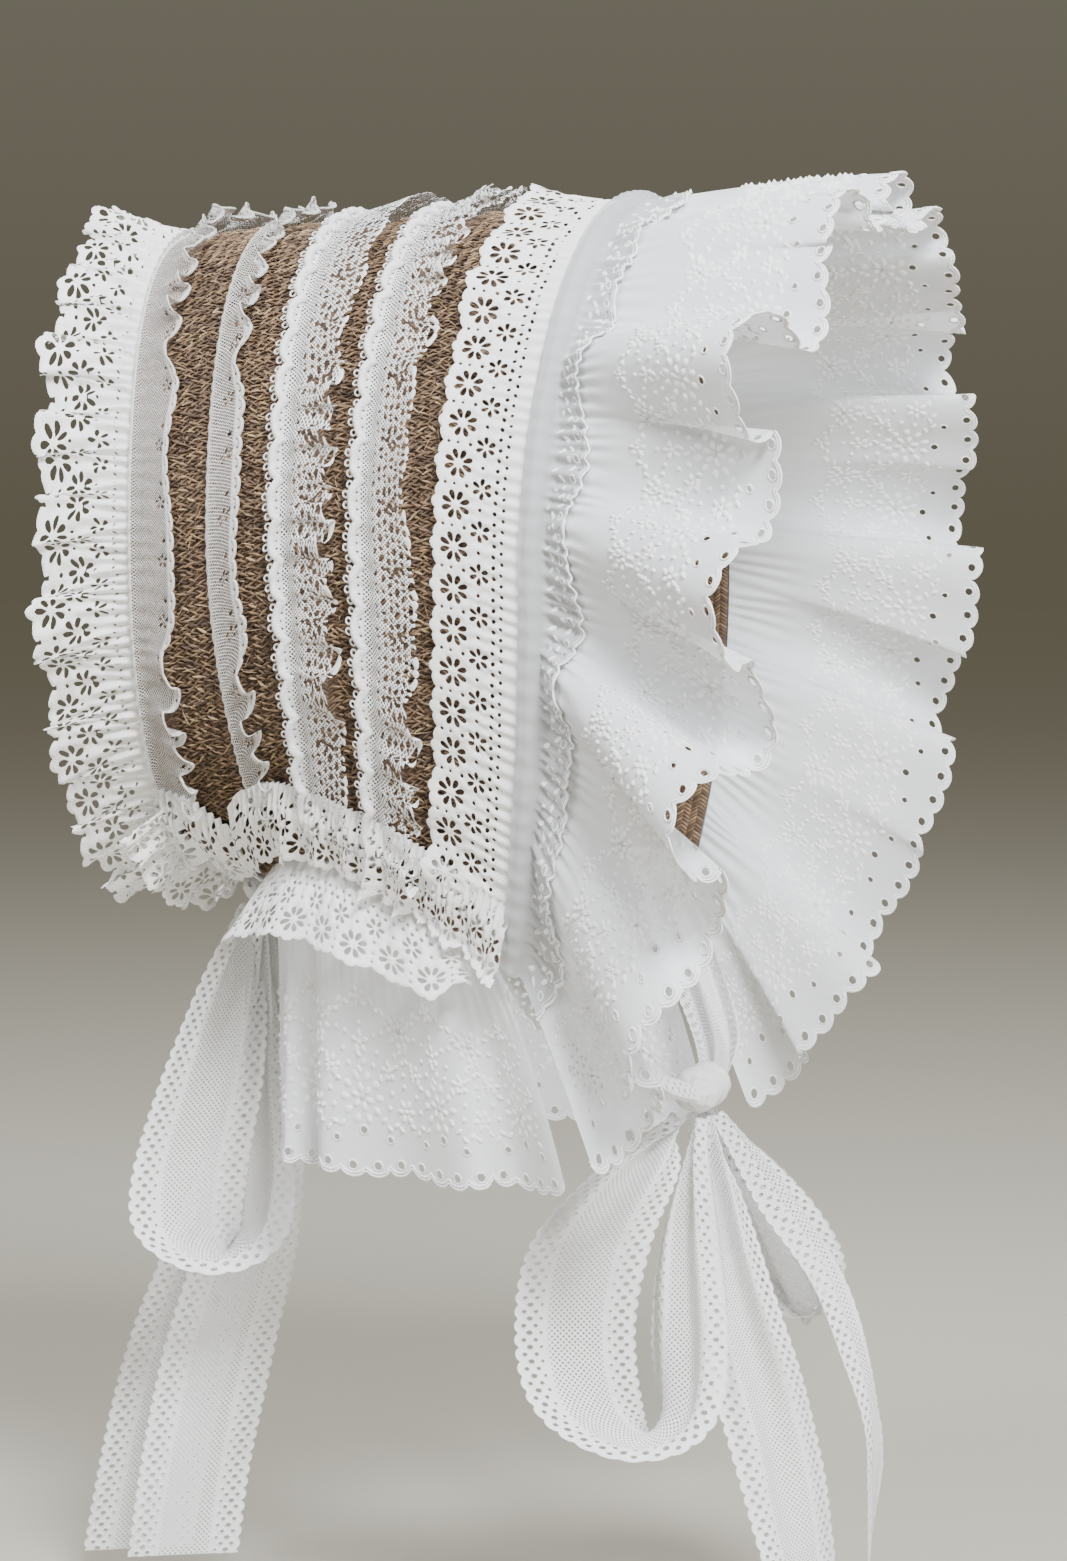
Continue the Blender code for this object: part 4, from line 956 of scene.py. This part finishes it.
# The worked border: u, v, petals, radius, petal length and width, and turn of each flower; the
# two ends and the bow of each spray of leaves; and the dots. Each scallop has an eyelet, and
# each group has three more: how far aside and up, and the radius of the hole and of its ring
border = {
    "scallop": 8.6, "group": 34.4, "eyeletUp": 3.6, "eyelet": 1.25, "ring": 1.6,
    "eyelets": ((0.0, 15.2, 1.15, 1.5), (9.5, 12.6, 0.95, 1.25), (-9.5, 12.6, 0.95, 1.25)),
    "flowers": (
        (17.2, 25.0, 10, 6.5, 1.7, 1.15, 0.0), (17.2, 25.0, 6, 2.9, 1.6, 0.95, 0.3),
        (0.0, 22.0, 6, 2.5, 1.6, 0.95, 0.0), (6.2, 33.5, 5, 2.1, 1.4, 0.85, 0.2),
        (28.2, 33.5, 5, 2.1, 1.4, 0.85, 0.5), (0.0, 46.0, 9, 4.6, 1.5, 1.0, 0.0),
        (0.0, 46.0, 5, 2.0, 1.2, 0.8, 0.4), (17.2, 41.0, 5, 2.3, 1.5, 0.9, 0.3),
        (17.2, 54.0, 5, 2.1, 1.4, 0.85, 0.0),
    ),
    "sprays": (
        (9.5, 18.0, 2.5, 17.0, 0.8), (24.9, 18.0, 31.9, 17.0, -0.8), (9.0, 30.5, 1.5, 40.0, 1.2),
        (25.4, 30.5, 32.9, 40.0, -1.2), (5.5, 48.0, 14.5, 53.0, 1.2), (28.9, 48.0, 19.9, 53.0, -1.2),
        (17.2, 33.0, 17.2, 37.5, 0.3),
    ),
    "dots": (
        (6.8, 22.5), (27.6, 22.5), (5.5, 27.0), (28.9, 27.0), (12.4, 34.6), (22.0, 34.6), (10.5, 38.5),
        (23.9, 38.5), (11.5, 43.5), (22.9, 43.5), (0.0, 29.5), (0.0, 33.0), (0.0, 36.5), (17.2, 46.5),
        (8.0, 44.5), (26.4, 44.5),
    ),
}


def ruffleFrame(turn):
    place = (turn + 1) / 2
    root = crownBase(1.0, turn)
    root[..., 1] -= ruffle["rootGap"]
    outward = crownOut(1.0, turn)
    outward[..., 1] = 0
    outward = unit(outward)
    flare, fall = np.radians(readRows(ruffle["flare"], place)), np.radians(readRows(ruffle["fall"], place))
    forward = outward * np.sin(flare)[..., None]
    forward[..., 1] = -np.cos(flare)
    run = forward * np.cos(fall)[..., None]
    run[..., 2] -= np.sin(fall)
    along = np.stack((outward[..., 2], 0 * turn, -outward[..., 0]), -1)
    along = unit(along - run * (along * run).sum(-1, keepdims=True))
    return root, run, along, unit(np.cross(run, along)), readRows(ruffle["width"], place)


def rufflePoint(turn, reach, lift=0.0):
    # a point at a distance from the rim: fine gathers at the root open into deep folds
    turn, reach = np.broadcast_arrays(np.asarray(turn, float), np.asarray(reach, float))
    root, run, along, across, width = ruffleFrame(turn)
    share = np.clip(reach / width, 0, 1.02)
    phase = ruffle["folds"] * (turn + 1) / 2 + 0.16 * np.sin(11.3 * turn + 0.5)
    uneven = 0.82 + 0.28 * np.sin(1.7 * phase + 0.6)
    large = 0.5 * tau * phase + 0.8
    crest = 0.26 * np.cos(tau * phase + 0.6) + 0.86 * np.cos(large)
    level = 1 - np.exp(-(turn / 0.20) ** 2)
    swing = ruffle["depth"] * (0.5 + 0.5 * level) * uneven * share ** 0.75 * crest
    gather = np.sin(tau * ruffle["gathers"] * (turn + 1) / 2 + 1.5 * np.sin(9 * phase))
    fade = (1 - smooth(reach, 0.004, 0.030)) * smooth(reach, 0.0, 0.002)
    swing = swing + ruffle["gatherDepth"] * gather * fade
    bend = 0.82 * np.sin(2 * large) + 0.2 * np.sin(2 * tau * phase)
    side = ruffle["overlap"] * share ** 1.1 * uneven * bend
    lean = ruffle["lean"] * level * share ** 1.3 * uneven * 0.5 * (1 + crest)
    point = root + run * reach[..., None] + across * (swing + lift)[..., None] + along * side[..., None]
    point[..., 2] -= ruffle["droop"] * share ** 2 + lean
    return point


def rufflePlace(u, v, lift, lace):
    # v is the distance from the free edge: exact in the worked border, eased further in
    turn = np.interp(u * ruffle["stretch"], ruffleLengths, ruffleTurns)
    width, fine = readRows(ruffle["width"], (turn + 1) / 2), ruffle["fine"]
    inner = (width - fine * mm) * (1 - (v - fine) / (ruffle["deepest"] - fine))
    reach = np.where(v < fine, width - v * mm, inner)
    return rufflePoint(turn, np.maximum(reach, 0), lift + ruffle["clothGap"])


def borderCut(u):
    # small scallops in groups of four on a larger scallop
    scallop, group = border["scallop"], border["group"]
    x = nearest(u - group / 2, group) / (group / 2)
    return 0.3 - teeth(u - scallop / 2, scallop, 2.3) + 4.2 * (1 - np.sqrt(np.maximum(1 - 0.8 * x * x, 0)))


def eyeletPattern(u, v, lace):
    # lawn with an eyelet in each scallop, and more set back behind them
    scallop, group = border["scallop"], border["group"]
    centre = scallop * np.round((u - scallop / 2) / scallop) + scallop / 2
    far = nearest(u - group / 2, group)
    holes = border["eyelet"] - np.hypot(u - centre, v - borderCut(centre) - border["eyeletUp"])
    for aside, up, radius, _ in border["eyelets"]:
        holes = np.maximum(holes, radius - np.hypot(far - aside, v - up))
    return np.minimum(v - borderCut(u), -holes), 0.0


def borderStitches(groups):
    # a corded edge, worked rings round the eyelets, flowers, dots and chains of leaves
    long = groups * border["group"]
    starts = np.arange(groups) * border["group"]
    us = np.arange(0, long, 0.9)
    edges = [flatTube(us, borderCut(us) + inset, 0.12, 0.42, 4) for inset in (0.25, 1.2)]
    centres = (np.arange(int(round(long / border["scallop"]))) + 0.5) * border["scallop"]
    rings = [flatRings(centres, borderCut(centres) + border["eyeletUp"], border["ring"], 0.4, 0.08, 9, 3)]
    for aside, up, _, radius in border["eyelets"]:
        middles = starts + border["group"] / 2 + aside
        rings.append(flatRings(middles, np.full(groups, up), radius, 0.38, 0.08, 9, 3))
    leaves = []
    for u, v, petals, radius, petalLong, petalWide, turn in border["flowers"]:
        for a in turn + tau * np.arange(petals) / petals:
            leaves.append((u + radius * math.cos(a), v + radius * math.sin(a), a, petalLong, petalWide))
        leaves.append((u, v, 0, 0.9, 0.9))
    for u0, v0, u1, v1, bow in border["sprays"]:
        steps = max(int(math.hypot(u1 - u0, v1 - v0) / 2.3), 2)
        a = math.atan2(v1 - v0, u1 - u0)
        for k in range(steps + 1):
            t, sign = k / steps, 1 if k % 2 else -1
            off = bow * math.sin(math.pi * t) + 0.75 * sign
            u, v = u0 + (u1 - u0) * t - math.sin(a) * off, v0 + (v1 - v0) * t + math.cos(a) * off
            leaves.append((u, v, a + 0.6 * sign, 1.5, 0.8))
    leaves += [(u, v, 0.0, 0.95, 0.95) for u, v in border["dots"]]
    leaves = np.concatenate([np.array(leaves) + (start, 0, 0, 0, 0) for start in starts])
    leaves = leaves[(leaves[:, 0] > 5) & (leaves[:, 0] < long - 5)]
    return together(*edges, *rings, *(flatLeaves(*leaves.T, high) for high in (1.15, -0.95)))


ruffleTurns = np.linspace(-1, 1, 6001)
freeEdge = rufflePoint(ruffleTurns, readRows(ruffle["width"], (ruffleTurns + 1) / 2))
ruffleLengths = lengthsAlong(freeEdge) / mm
groups = int(ruffleLengths[-1] / border["group"])
ruffle["stretch"] = ruffleLengths[-1] / (groups * border["group"])
print("face ruffle edge", round(ruffleLengths[-1]), "mm,", groups, "scallops")
lawn = {
    "slot": "eyelet_cotton", "cotton": lawnCotton, "pattern": eyeletPattern, "cell": 0.86, "relief": 0.0,
    "clothWide": 84,
}
faceRuffle = {
    **lawn, "name": "face_ruffle_lawn", "nodes": ["face_ruffle"], "place": rufflePlace,
    "wide": ruffle["deepest"], "long": groups * border["group"],
    "rows": ((0, 8.5, 0.7), (8.5, 18, 0.95), (18, 86, 2.0)), "areaShare": 0.75,
    "stitching": "face_ruffle_embroidery",
}
layLace(faceRuffle, stitches=borderStitches(groups))
print("face ruffle")

# The cord along the rim
roll = {
    "station": 0.980, "long": 0.0031, "high": 0.0015, "steps": 620, "sides": 16, "turn": 0.985, "round": 3.4,
}
turns = np.linspace(-roll["turn"], roll["turn"], roll["steps"])
outward = crownOut(roll["station"], turns)
centre = crownBase(roll["station"], turns) + outward * (skin + 0.0004 + roll["high"])
a = np.arange(roll["sides"]) * tau / roll["sides"]
pull = (1 + 0.06 * np.sin(turns * 71 + 2)) * np.sqrt(np.clip((roll["turn"] - np.abs(turns)) / 0.012, 0.03, 1))
ring = outward[:, None] * (roll["high"] * np.sin(a))[None, :, None]
ring[..., 1] -= roll["long"] * np.cos(a)
points = (centre[:, None] + ring * pull[:, None, None]).reshape(-1, 3)
faces = [wrapFaces(roll["steps"], roll["sides"]), *tubeEnds(roll["steps"], roll["sides"])]
flat = np.stack([k.ravel() for k in np.meshgrid(turns * 280, a * roll["round"], indexing="ij")], 1)
wrap = (1, tau * roll["round"])
# the cord takes the tape's grey cotton, whose grey is painted shade for the cord in shadow at the rim
rimRoll = buildPiece(
    "rim_covered_cord", ["rim_roll"], points, faces, shadedTapeCotton, flat, wrap=wrap)

# The embroidered tape that covers the cord and lies on the ruffle
tape = {
    "name": "rim_embroidered_tape", "nodes": ["rim_lace"], "slot": "cotton_roll", "cotton": shadedTapeCotton,
    "pattern": trimPattern, "netGround": False, "rests": ["face_ruffle"], "stitching": "rim_tape_embroidery",
    "wide": 20.0, "long": 100 * 5.75, "period": 5.75, "teeth": (5.75, 1.4), "swell": 0.0, "cell": 0.66,
    "relief": 0.2, "rows": ((0, 15, 1.0), (15, 20.2, 0.6)), "flowers": (), "eyes": ((5.75, 0.0, 3.2, 0.55),),
    "over": 6.3, "cover": 0.0010, "lastTurn": 0.998,
}


def tapePlace(u, v, lift, lace):
    # from behind the cord, over it, and down onto the ruffle
    turn = lace["lastTurn"] * (2 * u / lace["long"] - 1)
    share, past = v / lace["wide"], v - lace["over"]
    pulled = 0.0005 * np.sin(tau * u / 6.1 + 1.5 * np.sin(u / 23)) + 0.0003 * np.sin(tau * u / 14.3 + 0.2 * v)
    station = 1 + np.minimum(past, 0) / crownLong
    across = (station - roll["station"]) * crown["length"] / roll["long"]
    bump = 2 * roll["high"] * np.sqrt(np.clip(1 - (across / 1.4) ** 2, 0, 1))
    creases = 0.0003 * np.sin(2.4 * v + 0.9 * np.sin(u / 17) + 0.5 * np.sin(u / 6.3))
    onCrown = crownPoint(station, turn, laceLift + bump + lace["cover"] * 0.5 + pulled * 0.3 + creases + lift)
    stand = lace["cover"] + 0.0008 * share ** 2 * (1 + np.sin(tau * u / 29.0 + 1.2 * np.sin(u / 19)))
    stand = stand + pulled * (1 - 0.5 * share)
    forward = np.maximum(past + 1.1 * share ** 2 * np.sin(tau * u / 37.0), 0) * mm
    onRuffle = rufflePoint(turn, forward, lift + stand)
    blend = smooth(past, -1.0, 2.5)[..., None]
    return onCrown * (1 - blend) + onRuffle * blend


tape["place"] = tapePlace
eyeU = np.arange(int(tape["long"] / tape["period"])) * tape["period"] + 2.9
zigzag = np.where(np.arange(len(eyeU)) % 2, 1.0, -1.0)
edgeU = np.arange(0, tape["long"], 0.8)
tapeStitches = together(
    flatTube(edgeU, 19.7 + teeth(edgeU, *tape["teeth"]), 0.2, 0.5, 4),
    flatTube(edgeU, 18.5 + teeth(edgeU, tape["period"], 1.2), 0.1, 0.32, 3),
    flatRings(eyeU, 15.8 + 0 * eyeU, 1.1, 0.42, 0.1, 8, 3),
    flatLeaves(eyeU, 12.4 + 0.9 * zigzag, 0.6 * zigzag, 1.7, 0.9, 0.9),
    flatLeaves(eyeU + 2.9, 13.9 - 0.6 * zigzag, -0.5 * zigzag, 1.3, 0.8, 0.9),
    flatLeaves(eyeU + 2.0, 9.8 + 0.5 * zigzag, 0.9, 1.4, 0.8, 0.9))
layLace(tape, stitches=tapeStitches)
print("rim")

# The curtain over the neck
curtain = {
    "hemZ": -0.298, "folds": 9, "depth": 0.0070, "drawIn": 0.004, "forward": 0.032, "oval": 0.9,
    "fine": 18.0, "deepest": 90.0, "topGap": 0.0016,
}
curtainMiddle = lowerEdge(np.linspace(0, 1, 46))[:, 1].mean()


def curtainPoint(place, reachShare, lift=0.0, exact=None):
    # a point between the crown's edge and the hem; exact is a distance up from the hem
    top = lowerEdge(place)
    start = top[..., 2] - curtain["topGap"]
    full, fine = start - curtain["hemZ"], curtain["fine"] * mm
    share = np.where(exact < fine, 1 - exact / full, (1 - fine / full) * reachShare)
    outward = unit(np.stack((top[..., 0], (top[..., 1] - curtainMiddle) * curtain["oval"], 0 * place), -1))
    phase = curtain["folds"] * place + 0.15 * np.sin(tau * 2.7 * place)
    swing = curtain["depth"] * np.cos(tau * phase) * (0.75 + 0.4 * np.sin(2.9 * phase)) - curtain["drawIn"]
    gathers = 0.0006 * np.sin(tau * 75 * place) * (1 - smooth(share, 0.05, 0.5)) * smooth(share, 0, 0.04)
    point = top + outward * (swing * share + gathers + lift)[..., None]
    point[..., 2] = start - full * share
    point[..., 1] -= curtain["forward"] * share ** 0.6 * smooth(np.abs(place - 0.5) * 2, 0.5, 1.0)
    return point


def curtainPlace(u, v, lift, lace):
    place = np.interp(u * curtain["stretch"], curtainLengths, curtainPlaces)
    inner = 1 - (v - curtain["fine"]) / (curtain["deepest"] - curtain["fine"])
    return curtainPoint(place, np.clip(inner, 0, 1), lift, v * mm)


curtainPlaces = np.linspace(0, 1, 3001)
hem = curtainPoint(curtainPlaces, np.ones(3001), 0.0, np.zeros(3001))
curtainLengths = lengthsAlong(hem) / mm
groups = int(round(curtainLengths[-1] / border["group"]))
curtain["stretch"] = curtainLengths[-1] / (groups * border["group"])
print("curtain hem", round(curtainLengths[-1]), "mm")
neckCurtain = {
    **lawn, "name": "neck_curtain_lawn", "nodes": ["curtain"], "place": curtainPlace, "flip": True,
    "wide": curtain["deepest"], "long": groups * border["group"],
    "rows": ((0, 8.5, 0.7), (8.5, 18, 0.95), (18, 90, 2.4)), "areaShare": 0.8,
    "stitching": "neck_curtain_embroidery",
}
layLace(neckCurtain, stitches=borderStitches(groups))
print("neck curtain")

# Ribbons of torchon lace: x, y, z, width and facing (degrees) along each, in millimetres
chinTie = (
    (-76.3, -56.1, -204.3, 18, 76), (-73.6, -60.8, -218.6, 18, 78), (-64, -75, -243, 20, 88),
    (-42, -90, -263, 17, 90), (-13.6, -98, -273, 9, 90))
ribbonRows = {
    "chin_tie_right": chinTie,
    "chin_tie_left": [(-x, y, z, width, 180 - facing) for x, y, z, width, facing in chinTie],
    "chin_loop_right": (
        (-10, -93, -281.6, 5, 0), (-24, -86, -295, 26, -60), (-34, -73, -318, 38, -70),
        (-38, -69, -345, 38, -66), (-38, -74, -369, 38, -42), (-31, -87, -381, 36, 5),
        (-23, -98, -374, 34, 45), (-18, -99, -348, 28, 80), (-14, -98, -313, 18, 80),
        (-9.5, -101, -281.6, 5, 20)),
    "chin_loop_left": (
        (4, -94, -281.6, 5, 0), (22, -100, -298, 24, -60), (35, -111, -320, 34, -72),
        (41, -118, -338, 36, -50), (41, -122, -350, 34, 0), (35, -119, -350, 30, 45),
        (28, -109, -334, 26, 85), (18, -102, -308, 16, 90), (10.5, -97, -281.6, 4, 45)),
    "chin_tail_wide": (
        (-2.5, -100, -281.6, 6, 0), (2, -104, -309, 16, -60), (1, -112, -347, 26, -68),
        (0, -123, -384, 34, -40), (0, -131, -419, 38, -20), (0, -136, -446, 38, -15)),
    "chin_tail_narrow": (
        (4, -102, -281.6, 5, 0), (17, -117, -308, 20, -5), (24, -134, -337, 30, 5), (26, -146, -372, 36, 8),
        (26, -149, -400, 38, 8), (25, -147, -427, 38, 12), (24, -145, -446, 38, 12)),
    "nape_loop": (
        (-6, 56.5, -219.7, 5, 0), (-9, 60, -245, 22, -55), (-14, 66, -277, 34, -70), (-16, 73, -307, 38, -66),
        (-15, 74, -328, 38, -40), (-8, 66, -338, 34, 10), (0, 57, -330, 28, 55), (3, 55, -306, 20, 90),
        (1, 54.5, -270, 14, 100), (-6, 52, -219.7, 4, 180)),
    "nape_tail_right": (
        (1, 54, -219.7, 4, 0), (10, 56, -254, 18, -65), (15, 60.5, -291, 28, -70), (16, 66, -332, 34, -70),
        (15, 77.5, -374, 38, -66), (14, 86, -414, 38, -60), (14, 91, -446, 38, -60)),
    "nape_tail_left": (
        (8, 54, -219.7, 4, 0), (20, 58, -257, 18, -65), (27, 67.5, -295, 28, -70), (28, 81, -333, 34, -70),
        (28, 96, -372, 38, -64), (28, 107, -411, 38, -60), (28, 115, -450, 38, -60)),
}


def torchonPattern(u, v, lace):
    # diamond net between two worked borders with rows of oval holes and round scallops
    side, period = np.abs(v), lace["period"]
    shift = u + np.where(v < 0, period / 2, 0.0)
    holes = np.full(np.shape(side), -9.0)
    for step, middle, wide, high in lace["ovals"]:
        oval = np.hypot(nearest(shift + step * period, period) / wide, (side - middle) / high)
        holes = np.maximum(holes, (1 - oval) * wide)
    return np.minimum(lace["wide"] / 2 + teeth(shift, period, 1.5) - side, -holes), 1 - smooth(side, 8.2, 9.0)


def ribbonPlace(u, v, lift, lace):
    # along the ribbon's rows, drawn into two soft pleats where it is narrower than its cloth
    place, wide = np.interp(u, lace["lengths"], lace["places"]), lace["wide"]
    x, y, z, width, facing = lace["table"].T
    steps = [np.clip(place + step, 0, 1) for step in (-0.01, 0, 0.01)]
    before, middle, after = (np.stack([readRows(k, at) for k in (x, y, z)], -1) for at in steps)
    width, facing = readRows(width, place), np.radians(readRows(facing, place))
    across = np.stack((np.cos(facing), np.sin(facing), 0 * facing), -1)
    outward = unit(np.cross(across, unit(after - before)))
    share = v / wide
    full = wide / np.clip(width, 3.0, wide)
    pleat = np.minimum(width, wide) / tau * np.sqrt(np.maximum(full - 1, 0)) * smooth(u, *lace["calm"])
    swing = pleat * np.cos(tau * 2 * share + 0.5 * np.sin(u / 17.0))
    swing = swing + np.sin(u / 8.3 + 5 * share) * np.abs(share)
    return (middle + across * (share * width)[..., None]) * mm + outward * (swing * mm + lift)[..., None]


ribbon = {
    "slot": "lace_ribbon", "cotton": ribbonCotton, "pattern": torchonPattern, "place": ribbonPlace,
    "held": "hung", "wide": 38, "period": 4.3, "cell": 0.6, "relief": 0.3,
    "rows": ((-19, -9, 0.5), (-9, 9, 1.5), (9, 19, 0.5)),
    "ovals": ((0.0, 16.0, 0.62, 0.85), (0.5, 14.2, 0.72, 1.05), (0.0, 12.3, 0.6, 0.8), (0.5, 10.6, 0.5, 0.6)),
    "areaShare": 0.84, "places": np.linspace(0, 1, 801),
}
for name, rows in ribbonRows.items():
    table = np.array(rows, float)
    lengths = lengthsAlong(np.stack([readRows(table[:, k], ribbon["places"]) for k in range(3)], -1))
    layLace({
        **ribbon, "name": name + "_lace", "nodes": [name], "table": table, "lengths": lengths,
        "long": lengths[-1], "clothLong": round(lengths[-1]), "calm": (8, 30) if "tie" in name else (-2, -1),
        "rests": ["chin_knot" if "chin" in name else "nape_knot"]})

# The knots: a wound barrel of pleated ribbon
knots = (
    {"name": "chin_knot", "at": (0, -98, -273), "size": (26, 17, 16), "turns": 5, "tilt": 0.35},
    {"name": "nape_knot", "at": (0, 54, -213.2), "size": (20, 9, 12), "turns": 4, "tilt": 0.3},
)
steps, sides, clothRound = 64, 72, 60
t, a = np.meshgrid(np.linspace(0, 1, steps), np.arange(sides) * tau / sides, indexing="ij")
x = (t - 0.5) * 2
girth = ((1 - np.abs(x) ** 3.2) ** 0.5 * 0.93 + 0.07) * (1 - 0.12 * np.exp(-(x / 0.35) ** 2))
creases = 0.10 * np.abs(np.sin(4.5 * a + 2.5 * x)) * smooth(np.abs(x), 0.35, 0.9)
creases = 0.03 * np.sin(2 * a + 5 * t) - creases
for knot in knots:
    wound = knot["turns"] * math.pi * (t + knot["tilt"] * 0.4 * np.sin(a + 0.7))
    around = girth * (0.85 + 0.17 * np.abs(np.sin(wound)) + creases)
    points = np.stack((x, np.cos(a) * around, np.sin(a) * around), -1).reshape(-1, 3) * knot["size"] * 0.49
    points = (points + knot["at"]) * mm
    faces = [wrapFaces(steps, sides), *tubeEnds(steps, sides)]
    flat = np.stack((t, a / tau), -1).reshape(-1, 2) * clothRound
    name, wrap = knot["name"] + "_wound", (1, clothRound)
    item = buildPiece(name, [knot["name"]], points, faces, ribbonSolid, flat, wrap=wrap)
print("ribbons and knots")

low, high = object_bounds()
